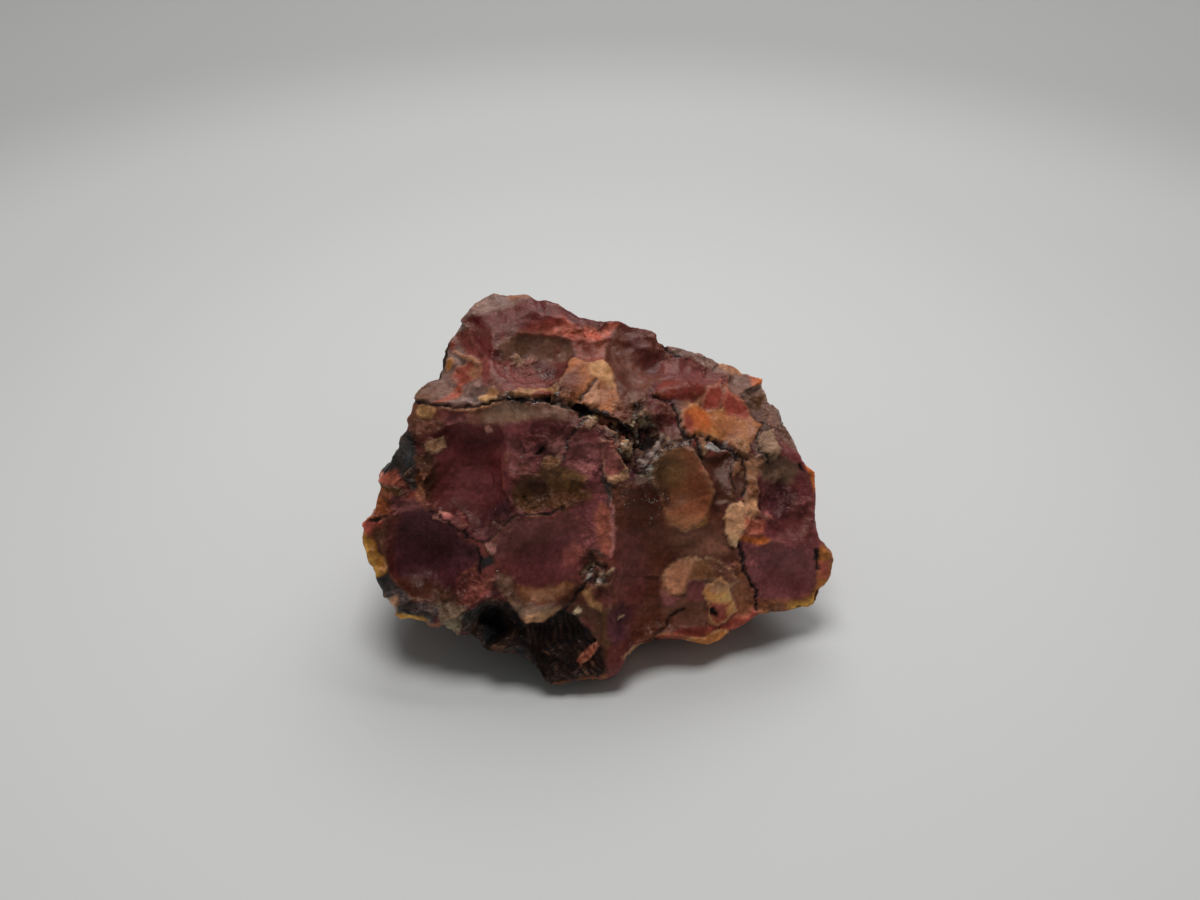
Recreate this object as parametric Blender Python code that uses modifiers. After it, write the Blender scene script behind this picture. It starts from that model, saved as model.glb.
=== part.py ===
"""A chunk of petrified wood, broken and flaked on every side, as one solid.

Metres, +Z up. The origin is under the middle of the chunk, on the surface it rests on.
The chunk starts as the convex blank that its outermost corners span. Flakes are struck off it, a
crack is opened in its top, and its skin is made uneven. Last, it is cut level where it rests.
"""

from math import radians

import bmesh
import bpy
from mathutils import Matrix, Vector
from mathutils.bvhtree import BVHTree

MM = 0.001
NAME = "petrified_wood"

# The outermost corners of the chunk, in mm: right is +X, and the broad broken face looks along -Y.
CORNERS = {
    "left flange": [(-51, -15, 24), (-47, -9, 31), (-48, -24, 18), (-43, -31.5, 12), (-37, -33, 12)],
    "left shoulder": [(-39.5, 4, 43), (-34, 9, 46), (-32.5, 16, 49), (-30.5, 24, 51.5)],
    "top hump": [(-25, 31, 53.5), (-16, 31, 53.5), (-10, 28, 53.5)],
    "top edge": [(1, 25, 50), (14, 27, 44.5), (22, 26.5, 41), (34, 23.5, 37.5), (40, 24, 35)],
    "right edge": [(41, 12.5, 33), (49.5, -2.5, 28), (49, -14, 21), (52, -17, 15), (50, -22.5, 9), (48, -26.5, 8.5)],
    "right hem": [(35, -28, 9), (24, -34.5, 7)],
    "toe": [(1, -39.5, 2), (-5, -41.5, 1.2), (-9, -42.5, 1.8), (-14, -36, 6), (-20, -35, 9), (-29, -34, 11)],
    "front ridge": [(6, -9, 43), (3, -22, 27), (-19, 0, 47), (-38, 4, 43)],
    "back": [(-30, 35, 38), (-12, 39, 34), (10, 38, 30), (28, 33, 26), (43, 21, 22)],
    "back hem": [(-34, 27, 14), (-10, 34, 9), (16, 32, 8), (34, 21, 8)],
    "left back": [(-47, 4, 26), (-45, 8, 14), (-40, -8, 6)],
    "resting spot": [
        (-18, -10, -1), (-2, -21, -1), (15, -12, -1), (22, 2, -1), (13, 13, -1), (-6, 16, -1), (-19, 6, -1),
    ],
}

# Each flake scar: the middle of its dish on the blank's skin, the dish's width, height and depth, in mm,
# and how many degrees it leans to the right.
FRONT_FLAKES = {
    "crack lip": ((-20, -4, 44), 46, 10, 1.6, 0),
    "red bowl": ((-26.5, -11, 34), 23, 31, 4.2, 5),
    "plum bowl": ((-33, -22, 22), 29, 26, 4.6, 25),
    "rust bowl": ((-8.5, -23, 22), 34, 27, 3.6, -20),
    "grain face": ((-8, -14, 34), 24, 22, 2.0, 0),
    "top hollow": ((-12, 15, 50), 32, 20, 3.4, 10),
    "top left slope": ((-28, 12, 48), 24, 20, 2.4, 30),
    "amber shell": ((-1.5, 5, 46), 17, 22, 2.2, 0),
    "saddle": ((10, 16, 45), 22, 26, 2.8, 20),
    "right slope": ((26, 19, 39), 28, 16, 2.2, 60),
    "orange shell": ((29, 6, 35), 24, 20, 2.4, 30),
    "dark gap": ((26, -5, 34), 18, 22, 2.4, 10),
    "olive shell": ((16, -12, 32), 22, 22, 2.6, -10),
    "smooth face": ((14.5, -25, 20), 31, 42, 3.4, 6),
    "upper flank": ((38, -8, 27), 21, 28, 2.2, -15),
    "lower flank": ((38, -20, 16), 26, 20, 2.0, 30),
    "crescent": ((23, -28, 13), 26, 17, 2.8, 25),
    "black hollow": ((-7.5, -34, 11), 18, 17, 4.2, 5),
    "black cave": ((-20.5, -33, 12), 14, 10, 4.0, -10),
    "bark notch": ((-44, -6, 33), 10, 16, 3.5, 20),
    "pocket": ((11, -6, 41), 19, 11, 3.2, -20),
    "hem ledge": ((-37, -31, 12), 26, 9, 2.4, 10),
}
BACK_FLAKES = {
    "back shoulder": ((-19, 38, 40), 30, 22, 3.6, 25),
    "back left bowl": ((-38, 24, 30), 30, 34, 4.4, 15),
    "back middle": ((-8, 40, 26), 30, 38, 4.0, -10),
    "back top slope": ((10, 34, 38), 40, 18, 3.0, -15),
    "back right bowl": ((27, 33, 26), 34, 26, 4.6, -35),
    "back corner": ((40, 24, 26), 20, 26, 2.6, 0),
    "back left hem": ((-24, 33, 14), 34, 18, 3.2, 15),
    "back right hem": ((12, 34, 11), 40, 18, 3.4, -10),
    "left shoulder face": ((-43, 6, 34), 20, 24, 2.6, 30),
    "left end": ((-47, 2, 18), 30, 22, 4.0, -20),
    "left end hem": ((-42, -14, 10), 26, 14, 2.6, 0),
    "right end top": ((47, 8, 24), 26, 22, 3.4, 30),
    "right end low": ((44, 2, 10), 34, 20, 3.6, 10),
    "under the left flange": ((-32, -22, 5), 34, 20, 3.4, 0),
    "under the right hem": ((30, -14, 4), 28, 20, 2.4, 0),
    "under the middle hem": ((14, -33, 4), 24, 12, 2.8, 0),
    "under the back": ((27, 16, 3), 30, 22, 3.0, 0),
    "under the left back": ((-32, 14, 5), 30, 26, 3.4, 0),
}

# The open crack across the top: points along it and its gape at each, in mm. It narrows to nothing
# CRACK_DEPTH in, where it has leaned back.
CRACK = [
    ((-20, 0.5, 46), 0.4),
    ((-17, 1.2, 46), 0.9),
    ((-12.5, 1.0, 46), 0.9),
    ((-7, 0.6, 45.5), 0.8),
    ((-2, -1.8, 44.5), 1.3),
    ((3, -4.6, 43.5), 2.2),
    ((7, -6.2, 42), 1.2),
    ((10, -6.8, 40.5), 0.4),
]
CRACK_DEPTH = 11
CRACK_LEAN = Vector((0.0, 0.35, -1.0)).normalized()
CRACK_REACH = 4  # how far the cutter stands out of the skin

# How each dish and the whole skin are made uneven: the pattern, its cells' size and its reach, in mm.
FLAKE_UNEVENNESS = ("CLOUDS", 11, 2.4)
SKIN_UNEVENNESS = {
    "wander": ("CLOUDS", 14, 1.6),
    "facets": ("VORONOI", 9, 0.8),
    "ragged ridges": ("CLOUDS", 4, 0.7),
}

GROUND_SIZE = 160
SKIN_CELL = 1.5
FINE_CELL = 0.65
WORN_PASSES = 3
TRIANGLES = 9000

MAROON = (0.16, 0.045, 0.035, 1.0)
WAXY = 0.42
SHARP_RIDGE = 35


def clear_scene():
    for obj in list(bpy.data.objects):
        bpy.data.objects.remove(obj, do_unlink=True)


def new_collection(name):
    collection = bpy.data.collections.new(name)
    bpy.context.scene.collection.children.link(collection)
    return collection


def new_object(name, bm, collection):
    mesh = bpy.data.meshes.new(name)
    bm.to_mesh(mesh)
    bm.free()
    obj = bpy.data.objects.new(name, mesh)
    collection.objects.link(obj)
    return obj


def add_remesh(obj, cell):
    remesh = obj.modifiers.new("even cells", "REMESH")
    remesh.mode = "VOXEL"
    remesh.voxel_size = cell * MM


def apply_modifiers(obj):
    evaluated = obj.evaluated_get(bpy.context.evaluated_depsgraph_get())
    mesh = bpy.data.meshes.new_from_object(evaluated)
    obj.modifiers.clear()
    obj.data = mesh


def make_blank(collection):
    """The corners' convex hull, its own corners a little worn."""
    bm = bmesh.new()
    for points in CORNERS.values():
        for point in points:
            bm.verts.new(Vector(point) * MM)
    hull = bmesh.ops.convex_hull(bm, input=bm.verts)
    bmesh.ops.delete(bm, geom=hull["geom_interior"], context="VERTS")
    bmesh.ops.recalc_face_normals(bm, faces=bm.faces)
    blank = new_object(NAME, bm, collection)
    add_remesh(blank, SKIN_CELL)
    worn = blank.modifiers.new("worn corners", "SMOOTH")
    worn.factor = 0.5
    worn.iterations = WORN_PASSES
    apply_modifiers(blank)
    return blank


def skin_frame(tree, middle, reach, lean):
    """Axes on the skin round middle: across, up the slope and outward, as a 4x4 matrix."""
    near = tree.find_nearest_range(middle, reach)
    outward = sum((found[1] for found in near), Vector()).normalized()
    place = tree.find_nearest(middle)[0]
    across = Vector((0, 0, 1)).cross(outward)
    if across.length < 0.1:
        across = Vector((1, 0, 0))
    across = across.normalized()
    rise = outward.cross(across).normalized()
    turn = Matrix((across, rise, outward)).transposed().to_4x4()
    return Matrix.Translation(place) @ turn @ Matrix.Rotation(-lean, 4, "Z")


def make_flake(name, tree, flake, collection):
    """The ball that a flake takes away: its cap below the skin is the dish."""
    middle, width, height, depth, lean = flake
    rim = width / 2
    radius = (rim * rim + depth * depth) / (2 * depth)
    frame = skin_frame(tree, Vector(middle) * MM, (width + height) / 4 * MM, radians(lean))
    bm = bmesh.new()
    bmesh.ops.create_icosphere(bm, subdivisions=5, radius=radius * MM)
    out_of_skin = Matrix.Translation((0, 0, (radius - depth) * MM))
    stretch = Matrix.Diagonal((1, height / width, 1, 1))
    bmesh.ops.transform(bm, matrix=frame @ out_of_skin @ stretch, verts=bm.verts)
    return new_object(name, bm, collection)


def make_crack(collection):
    """A blade with a three-cornered section, lofted along the crack."""
    bm = bmesh.new()
    rings = []
    points = [Vector(point) for point, _ in CRACK]
    for i, (point, gape) in enumerate(CRACK):
        along = points[min(i + 1, len(points) - 1)] - points[max(i - 1, 0)]
        side = along.cross(CRACK_LEAN).normalized() * gape / 2
        mouth = Vector(point) - CRACK_LEAN * CRACK_REACH
        flare = side * (CRACK_DEPTH + CRACK_REACH) / CRACK_DEPTH
        tip = Vector(point) + CRACK_LEAN * CRACK_DEPTH
        rings.append([bm.verts.new(corner * MM) for corner in (mouth - flare, mouth + flare, tip)])
    for ring, after in zip(rings, rings[1:]):
        for j in range(3):
            bm.faces.new((ring[j], ring[j - 1], after[j - 1], after[j]))
    bm.faces.new(rings[0])
    bm.faces.new(reversed(rings[-1]))
    bmesh.ops.recalc_face_normals(bm, faces=bm.faces)
    return new_object("crack", bm, collection)


def make_ground(collection):
    """Everything below ground level: it leaves the flat spot that the chunk rests on."""
    bm = bmesh.new()
    bmesh.ops.create_cube(bm, size=GROUND_SIZE * MM)
    bmesh.ops.translate(bm, vec=(0, 0, -GROUND_SIZE / 2 * MM), verts=bm.verts)
    return new_object("ground", bm, collection)


def hide_cutter(cutter):
    cutter.hide_render = True
    cutter.display_type = "WIRE"


def add_cut(obj, cutter):
    cut = obj.modifiers.new(cutter.name, "BOOLEAN")
    cut.operation = "DIFFERENCE"
    cut.object = cutter
    hide_cutter(cutter)


def add_unevenness(obj, name, kind, cell, reach):
    """CLOUDS move the skin every way, by about reach mm; VORONOI leaves it dished between ridges."""
    grain = bpy.data.textures.new(name, kind)
    grain.noise_scale = cell * MM
    push = obj.modifiers.new(name, "DISPLACE")
    push.texture = grain
    push.texture_coords = "GLOBAL"
    push.strength = reach * MM
    if kind == "CLOUDS":
        grain.cloud_type = "COLOR"
        grain.noise_depth = 1
        push.direction = "RGB_TO_XYZ"
        push.mid_level = 0.5
    else:
        push.direction = "NORMAL"
        push.mid_level = 0.4


def middle_over_origin(obj):
    """Shifts the mesh sideways until its bounding box stands centred on the origin."""
    corners = [Vector(corner) for corner in obj.bound_box]
    middle = sum(corners, Vector()) / len(corners)
    obj.data.transform(Matrix.Translation((-middle.x, -middle.y, 0)))


def make_chunk(collection, cutters):
    chunk = make_blank(collection)
    tree = BVHTree.FromObject(chunk, bpy.context.evaluated_depsgraph_get())
    for name, flake in (FRONT_FLAKES | BACK_FLAKES).items():
        ball = make_flake(name, tree, flake, cutters)
        add_unevenness(ball, name, *FLAKE_UNEVENNESS)
        add_cut(chunk, ball)
    add_remesh(chunk, FINE_CELL)
    for name, unevenness in SKIN_UNEVENNESS.items():
        add_unevenness(chunk, name, *unevenness)
    add_cut(chunk, make_crack(cutters))
    apply_modifiers(chunk)
    fewer = chunk.modifiers.new("fewer triangles", "DECIMATE")
    fewer.ratio = TRIANGLES / sum(len(face.vertices) - 2 for face in chunk.data.polygons)
    add_cut(chunk, make_ground(cutters))
    apply_modifiers(chunk)
    middle_over_origin(chunk)
    finish(chunk)


def finish(chunk):
    stone = bpy.data.materials.new("petrified wood")
    stone.use_nodes = True
    surface = stone.node_tree.nodes["Principled BSDF"]
    surface.inputs["Base Color"].default_value = MAROON
    surface.inputs["Roughness"].default_value = WAXY
    chunk.data.materials.clear()
    chunk.data.materials.append(stone)
    chunk.data.shade_smooth()
    chunk.data.set_sharp_from_angle(angle=radians(SHARP_RIDGE))


def main():
    clear_scene()
    parts = new_collection("petrified_wood_chunk")
    cutters = new_collection("cutters")
    make_chunk(parts, cutters)


main()
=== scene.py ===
"""The look of a chunk of petrified wood: its flaked, waxy, many-coloured skin, on a pale studio floor.

Lengths are in millimetres until the mesh is written, +Z up. Where a mark's outline is given in pixels,
they are those of the 1200 x 900 view through the scene's own camera.
"""

from math import cos, pi, radians, sin

import bpy
import numpy as np
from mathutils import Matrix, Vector, noise


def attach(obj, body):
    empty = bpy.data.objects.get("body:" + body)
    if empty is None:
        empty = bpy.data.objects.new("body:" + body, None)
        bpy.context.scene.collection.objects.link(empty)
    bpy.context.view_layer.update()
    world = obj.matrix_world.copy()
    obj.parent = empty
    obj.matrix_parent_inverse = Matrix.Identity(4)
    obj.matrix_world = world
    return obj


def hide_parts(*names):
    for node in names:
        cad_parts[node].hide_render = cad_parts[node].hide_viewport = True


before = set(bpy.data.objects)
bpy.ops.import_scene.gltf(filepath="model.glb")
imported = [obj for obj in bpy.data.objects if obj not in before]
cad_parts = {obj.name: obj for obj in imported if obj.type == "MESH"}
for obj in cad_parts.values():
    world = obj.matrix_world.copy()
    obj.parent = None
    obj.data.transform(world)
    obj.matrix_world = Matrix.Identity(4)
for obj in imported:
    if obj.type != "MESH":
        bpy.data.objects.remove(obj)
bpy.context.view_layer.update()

MM = 0.001
VIEW_WIDTH, VIEW_HEIGHT = 1200, 900

# The camera: where it stands, in mm, how far it looks down, and its lens.
CAMERA_PLACE = np.array((0.70, -166.17, 173.13))
LOOKS_DOWN = 40
LENS = 30
SENSOR = 36

RIMMED_STEP = 0.3  # marks this proud, in mm, get a painted highlight on the rim and a painted shadow by the edge

SKIN_CELL = 0.53  # the mesh's cells, in mm: finer ones would give over 200,000 triangles
SOFTEN_PASSES = 6
FACET_TURN = 0.010  # neighbouring normals that differ by more than about this are kept as a ridge

# The lamps, in m and W: place, size and power. All point at one spot of the stone.
LAMPS = {
    "overhead": ((-0.04, 0.29, 0.96), (0.5, 0.4), 5.8),
    "back": ((0.5, 2.1, 1.8), (2.4, 1.1), 42),
}
LAMP_AIM = (0, 0.02, 0)
SKY_STRENGTH = 0.115

# Colours of the stone in daylight, as 8-bit sRGB.
PALETTE = {
    "maroon": (94, 50, 46),
    "deep red": (90, 43, 43),
    "plum": (77, 43, 47),
    "brick": (118, 54, 44),
    "red": (152, 74, 62),
    "rose": (116, 66, 64),
    "pink": (158, 98, 92),
    "coral": (164, 92, 72),
    "orange": (180, 98, 50),
    "rust": (112, 66, 46),
    "amber": (158, 104, 66),
    "golden": (202, 158, 102),
    "ochre": (160, 112, 52),
    "olive": (88, 60, 38),
    "brown": (100, 62, 49),
    "umber": (74, 46, 36),
    "taupe": (117, 91, 79),
    "tan": (150, 108, 80),
    "peach": (188, 140, 104),
    "cream": (172, 144, 116),
    "charcoal": (46, 44, 44),
    "black": (24, 23, 24),
    "white": (206, 200, 192),
    "band": (97, 42, 42),
    "wine": (106, 56, 57),
    "dun": (124, 110, 90),
    "sienna": (121, 79, 54),
    "clay": (134, 72, 58),
    "apricot": (168, 114, 68),
    "salmon": (190, 94, 70),
    "straw": (174, 131, 88),
    "coal": (34, 21, 19),
    "moss": (102, 69, 44),
    "honey": (150, 89, 46),
    "russet": (122, 67, 41),
    "buff": (176, 119, 88),
    "stone": (140, 118, 94),
    "drab": (114, 86, 70),
    "blush": (192, 110, 90),
    "ash": (130, 109, 100),
    "liver": (88, 46, 42),
    "bole": (80, 43, 33),
    "copper": (142, 88, 60),
    "claret": (132, 73, 67),
    "flesh": (196, 116, 110),
}

# The stone's edge against the floor, in pixels, clockwise from the tip of the left flange, and the point
# that it is measured from.
OUTLINE_MIDDLE = (600, 480)
OUTLINE = [
    (361, 524), (366, 517), (372, 514), (376, 503), (380, 488), (378, 482), (378, 477), (381, 470),
    (390, 460), (398, 447), (400, 437), (406, 430), (408, 424), (406, 420), (411, 413), (413, 404),
    (414, 396), (420, 388), (428, 382), (438, 379), (442, 368), (443, 355), (447, 345), (451, 339),
    (457, 332), (461, 319), (467, 312), (474, 304), (484, 298), (494, 293), (507, 295), (525, 294),
    (532, 296), (536, 300), (545, 300), (558, 303), (568, 310), (580, 317), (597, 321), (619, 321),
    (632, 327), (640, 328), (652, 331), (658, 335), (657, 341), (663, 345), (675, 347), (690, 351),
    (700, 353), (718, 362), (733, 366), (742, 372), (755, 377), (763, 379), (762, 387), (766, 394),
    (768, 401), (779, 410), (783, 422), (792, 437), (798, 450), (803, 460), (809, 467), (815, 472),
    (816, 500), (815, 513), (817, 530), (821, 537), (827, 545), (833, 552), (834, 560), (832, 567),
    (831, 575), (826, 584), (820, 589), (817, 598), (814, 604), (806, 608), (780, 612), (759, 615),
    (745, 624), (733, 630), (727, 634), (720, 640), (708, 645), (695, 643), (680, 640), (668, 639),
    (655, 640), (640, 645), (634, 650), (627, 657), (624, 664), (620, 672), (614, 677), (606, 680),
    (590, 680), (575, 681), (566, 685), (553, 685), (544, 680), (540, 672), (535, 666), (526, 658),
    (515, 654), (500, 653), (488, 651), (482, 646), (479, 639), (470, 636), (459, 636), (452, 631),
    (441, 625), (438, 628), (430, 628), (424, 622), (418, 620), (400, 619), (394, 615), (396, 611),
    (390, 603), (383, 597), (381, 590), (376, 579), (375, 572), (368, 562), (365, 550), (362, 541),
    (363, 530),
]

# Marks on the side towards the camera, painted in this order: colour, softness of the edge in pixels,
# step in mm (up for a flake that stands proud, down for a scar), and the outline in pixels.
MARKS = {
    # Ground colours of the main faces.
    "hump": ("ash", 3, 0, [(455, 330), (461, 318), (468, 300), (490, 285), (512, 285), (536, 290),
        (541, 301), (520, 306), (500, 312), (480, 314), (470, 319)]),
    "hump stain": ("tan", 4, 0, [(500, 290), (530, 290), (535, 300), (512, 300)]),
    "top band": ("band", 3, 0, [(462, 320), (480, 314), (500, 311), (520, 305), (545, 290), (575, 305),
        (600, 315), (640, 322), (664, 340), (668, 352), (640, 350), (615, 340), (600, 330), (575, 325),
        (555, 320), (520, 330), (500, 348), (488, 358), (474, 345), (466, 332)]),
    "top band shade": ("maroon", 6, 0, [(474, 330), (500, 322), (520, 325), (505, 345), (490, 352)]),
    "coral lip": ("blush", 4, 0, [(540, 331), (552, 320), (564, 317), (578, 327), (600, 329), (614, 321),
        (622, 323), (608, 337), (592, 342), (575, 341), (560, 338)]),
    "coral lip shade": ("brick", 6, 0, [(520, 331), (540, 321), (560, 316), (566, 324), (548, 331)]),
    "coral lip glow": ("salmon", 6, 0, [(564, 332), (582, 331), (598, 332), (602, 338), (580, 341)]),
    "dark hollow": ("drab", 3, 0, [(498, 346), (515, 334), (540, 335), (560, 338), (574, 342), (575, 352),
        (565, 360), (545, 358), (520, 357), (502, 358)]),
    "hollow red": ("claret", 4, 0, [(483, 360), (502, 357), (520, 359), (545, 368), (558, 377), (562, 390),
        (548, 396), (515, 395), (495, 389), (484, 374)]),
    "hollow red right": ("maroon", 4, 0, [(535, 358), (565, 360), (568, 372), (560, 380), (545, 370)]),
    "saddle": ("brown", 4, 0, [(600, 352), (606, 338), (620, 326), (645, 330), (668, 352), (674, 365),
        (668, 380), (655, 384), (645, 398), (628, 404), (618, 400), (612, 375), (603, 360)]),
    "saddle red": ("maroon", 7, 0, [(622, 327), (645, 333), (664, 350), (672, 368), (655, 376), (640, 360),
        (625, 345)]),
    "lip underside": ("clay", 4, 0, [(574, 343), (600, 341), (610, 334), (606, 350), (603, 360), (590, 362),
        (577, 358)]),
    "left slope": ("ash", 3, 0, [(440, 330), (461, 318), (470, 330), (478, 350), (490, 362), (502, 385),
        (484, 402), (450, 405), (405, 404), (405, 392), (425, 376), (438, 350)]),
    "left slope red": ("claret", 4, 0, [(455, 335), (470, 330), (480, 350), (490, 362), (500, 386),
        (480, 384), (478, 368), (470, 356)]),
    "strip": ("brown", 3, 0, [(395, 440), (404, 420), (412, 405), (430, 402), (470, 408), (500, 402),
        (545, 400), (575, 406), (592, 413), (580, 428), (562, 432), (545, 421), (520, 421), (500, 425),
        (470, 422), (450, 425), (430, 433), (412, 442)]),
    "strip olive": ("drab", 5, 0, [(480, 411), (502, 403), (540, 402), (572, 408), (560, 420), (540, 419),
        (500, 423), (484, 421)]),
    "strip rose": ("rose", 5, 0, [(436, 410), (462, 410), (472, 420), (445, 424)]),
    "strip left": ("brown", 3, 0, [(405, 418), (422, 418), (440, 424), (430, 433), (410, 436)]),
    "red bowl": ("deep red", 4, 0, [(412, 442), (430, 433), (450, 425), (500, 425), (512, 436), (504, 452),
        (500, 480), (508, 500), (516, 512), (500, 530), (480, 540), (462, 538), (445, 515), (425, 506),
        (416, 480)]),
    "red bowl brow": ("deep red", 4, 0, [(430, 434), (450, 424), (498, 424), (505, 440), (490, 446),
        (450, 444)]),
    "red bowl left": ("umber", 6, 0, [(412, 452), (434, 454), (438, 480), (430, 502), (414, 496)]),
    "red bowl left rust": ("rust", 4, 0, [(414, 470), (424, 474), (424, 498), (414, 498)]),
    "red bowl glow": ("wine", 12, 0, [(458, 466), (478, 460), (492, 474), (490, 498), (472, 508), (456, 498),
        (450, 480)]),
    "red bowl shade": ("plum", 6, 0, [(478, 508), (504, 500), (512, 514), (500, 530), (480, 538),
        (466, 534)]),
    "grain face": ("wine", 5, 0, [(500, 426), (545, 420), (590, 420), (603, 445), (600, 480), (612, 520),
        (614, 556), (585, 545), (560, 515), (520, 514), (508, 500), (502, 480), (504, 452)]),
    "grain rose": ("rose", 6, 0, [(540, 430), (585, 425), (598, 440), (598, 470), (570, 470), (545, 450)]),
    "grain grey": ("rose", 3, 0, [(503, 437), (516, 440), (520, 455), (526, 474), (512, 476), (505, 462)]),
    "grain pink": ("pink", 4, 0, [(546, 438), (562, 436), (566, 446), (560, 455), (548, 452)]),
    "olive patch": ("moss", 5, 0, [(510, 490), (520, 478), (538, 474), (552, 462), (568, 468), (588, 474),
        (584, 487), (590, 500), (572, 503), (560, 512), (545, 507), (528, 514), (516, 506)]),
    "olive shade": ("umber", 5, 0, [(520, 480), (545, 474), (550, 500), (540, 502), (530, 488)]),
    # Painted shade in a small nick.
    "dark nick": ("coal", 3, -0.4, [(583, 556), (591, 551), (597, 557), (594, 566), (587, 572), (580, 570),
        (578, 563)]),
    "orange pink": ("clay", 4, 0, [(598, 502), (606, 505), (613, 522), (617, 545), (614, 557), (604, 553),
        (598, 540), (595, 520)]),
    "rust bowl": ("maroon", 4, 0, [(486, 545), (500, 538), (515, 522), (545, 516), (580, 513), (592, 530),
        (590, 548), (582, 562), (575, 578), (565, 584), (540, 590), (520, 600), (503, 590), (495, 566)]),
    "rust bowl grey": ("rose", 6, 0, [(486, 545), (512, 524), (545, 520), (530, 540), (515, 560),
        (497, 560)]),
    "rust bowl red": ("wine", 7, 0, [(505, 565), (540, 545), (575, 530), (592, 540), (580, 562), (565, 580),
        (520, 585)]),
    "rust highlight": ("claret", 5, 0, [(558, 568), (565, 548), (578, 543), (586, 549), (583, 558),
        (572, 566)]),
    "olive rim": ("sienna", 4, 0, [(518, 584), (545, 588), (565, 581), (578, 584), (572, 594), (550, 600),
        (530, 604), (520, 598)]),
    "ochre rim": ("tan", 4, 0, [(522, 590), (552, 589), (564, 583), (562, 592), (535, 600)]),
    "rose rim": ("drab", 3, 0, [(498, 572), (510, 576), (520, 598), (540, 604), (556, 600), (548, 612),
        (522, 620), (508, 604), (498, 588)]),
    "peach rim": ("tan", 2, 0, [(517, 624), (524, 614), (545, 612), (556, 603), (564, 600), (558, 612),
        (545, 621), (530, 625)]),
    "plum bowl": ("plum", 7, 0, [(378, 520), (395, 509), (420, 507), (445, 520), (465, 540), (480, 545),
        (480, 560), (465, 575), (458, 592), (440, 602), (420, 600), (398, 592), (384, 575), (380, 545)]),
    "plum bowl lit": ("plum", 8, 0, [(416, 560), (440, 548), (462, 556), (455, 580), (430, 590)]),
    "plum bowl rim": ("brown", 4, 0, [(382, 520), (398, 513), (392, 530), (389, 550), (396, 574), (408, 590),
        (395, 592), (384, 572), (380, 545)]),
    "plum bowl hem": ("umber", 5, 0, [(398, 574), (430, 580), (456, 592), (450, 602), (415, 600),
        (402, 592)]),
    "upper flange": ("coral", 3, 0, [(370, 482), (378, 468), (395, 466), (406, 478), (402, 486),
        (388, 484)]),
    "upper flange low": ("olive", 3, 0, [(376, 484), (400, 487), (404, 497), (388, 496), (376, 492)]),
    "plum bowl sheen": ("liver", 6, 0, [(387, 519), (397, 511), (404, 514), (399, 528), (396, 548),
        (401, 568), (408, 580), (400, 580), (391, 566), (387, 545)]),
    "flange brow": ("rose", 3, 0, [(384, 494), (402, 496), (422, 503), (420, 509), (396, 511), (388, 506)]),
    "flange orange": ("russet", 3, 0, [(352, 520), (364, 502), (374, 488), (390, 494), (394, 506),
        (384, 516), (374, 521)]),
    "flange red": ("red", 4, 0, [(350, 525), (372, 517), (384, 522), (380, 536), (362, 536)]),
    "flange brown": ("umber", 4, 0, [(372, 530), (384, 524), (384, 548), (390, 568), (380, 560),
        (374, 545)]),
    "flange ochre": ("ochre", 2, 0, [(352, 535), (368, 534), (376, 548), (384, 558), (388, 572), (378, 576),
        (362, 566), (355, 548)]),
    "bark": ("charcoal", 2, 0, [(374, 470), (394, 446), (404, 428), (411, 430), (416, 450), (414, 475),
        (414, 490), (408, 491), (402, 480), (395, 470), (385, 473)]),
    "hem band": ("charcoal", 3, 0, [(370, 578), (388, 571), (400, 588), (412, 600), (440, 600), (442, 612),
        (432, 622), (418, 620), (398, 612), (397, 600), (378, 602)]),
    "hem tan": ("tan", 2, 0, [(380, 600), (396, 598), (399, 608), (396, 614), (386, 608)]),
    "hem ochre": ("ochre", 2, 0, [(388, 622), (394, 612), (420, 616), (430, 620), (420, 626), (400, 624)]),
    "hem brown": ("brown", 2, 0, [(424, 620), (440, 622), (442, 632), (428, 632)]),
    "cream ledge": ("dun", 3, 0, [(438, 600), (455, 602), (466, 604), (463, 615), (462, 626), (458, 636),
        (444, 626), (440, 614)]),
    "ledge red": ("claret", 3, 0, [(457, 592), (460, 574), (475, 569), (492, 565), (497, 575), (489, 596),
        (470, 602), (458, 603)]),
    "ledge brown": ("maroon", 3, 0, [(458, 574), (470, 572), (468, 590), (460, 602), (456, 590)]),
    "ledge grey": ("charcoal", 2, 0, [(477, 559), (490, 556), (494, 565), (480, 569)]),
    # The cave's black is painted shade in its depths.
    "cave": ("black", 3, 0, [(466, 612), (480, 603), (492, 598), (505, 600), (517, 614), (526, 630),
        (534, 655), (534, 672), (508, 662), (484, 656), (468, 640), (464, 626)]),
    "cave grey": ("charcoal", 3, 0, [(460, 612), (482, 606), (478, 625), (470, 634), (462, 632)]),
    "hollow": ("black", 2, 0, [(520, 622), (545, 622), (560, 608), (575, 611), (585, 625), (598, 640),
        (606, 655), (612, 670), (600, 684), (570, 692), (545, 692), (532, 676), (526, 650)]),
    "hollow brown": ("coal", 4, 0, [(578, 662), (605, 655), (608, 668), (585, 672)]),
    "hollow rim": ("rust", 2, 0, [(540, 694), (560, 682), (600, 674), (612, 669), (612, 682), (580, 692)]),
    "tan olive": ("umber", 4, 0, [(558, 602), (585, 580), (594, 602), (604, 605), (609, 630), (614, 655),
        (612, 668), (600, 650), (590, 635), (588, 622), (575, 612)]),
    "tan olive pale": ("straw", 3, 0, [(583, 592), (590, 588), (592, 600), (602, 604), (600, 612),
        (588, 606)]),
    "olive ridge": ("olive", 3, 0, [(601, 612), (610, 608), (610, 634), (612, 650), (605, 645)]),
    "smooth face": ("bole", 2, 0, [(612, 482), (650, 484), (662, 500), (668, 525), (685, 534), (706, 524),
        (716, 506), (724, 512), (726, 532), (737, 548), (742, 562), (700, 560), (680, 562), (664, 578),
        (661, 590), (668, 606), (664, 632), (640, 650), (618, 665), (611, 640), (612, 600), (614, 560),
        (616, 540), (611, 510)]),
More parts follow.
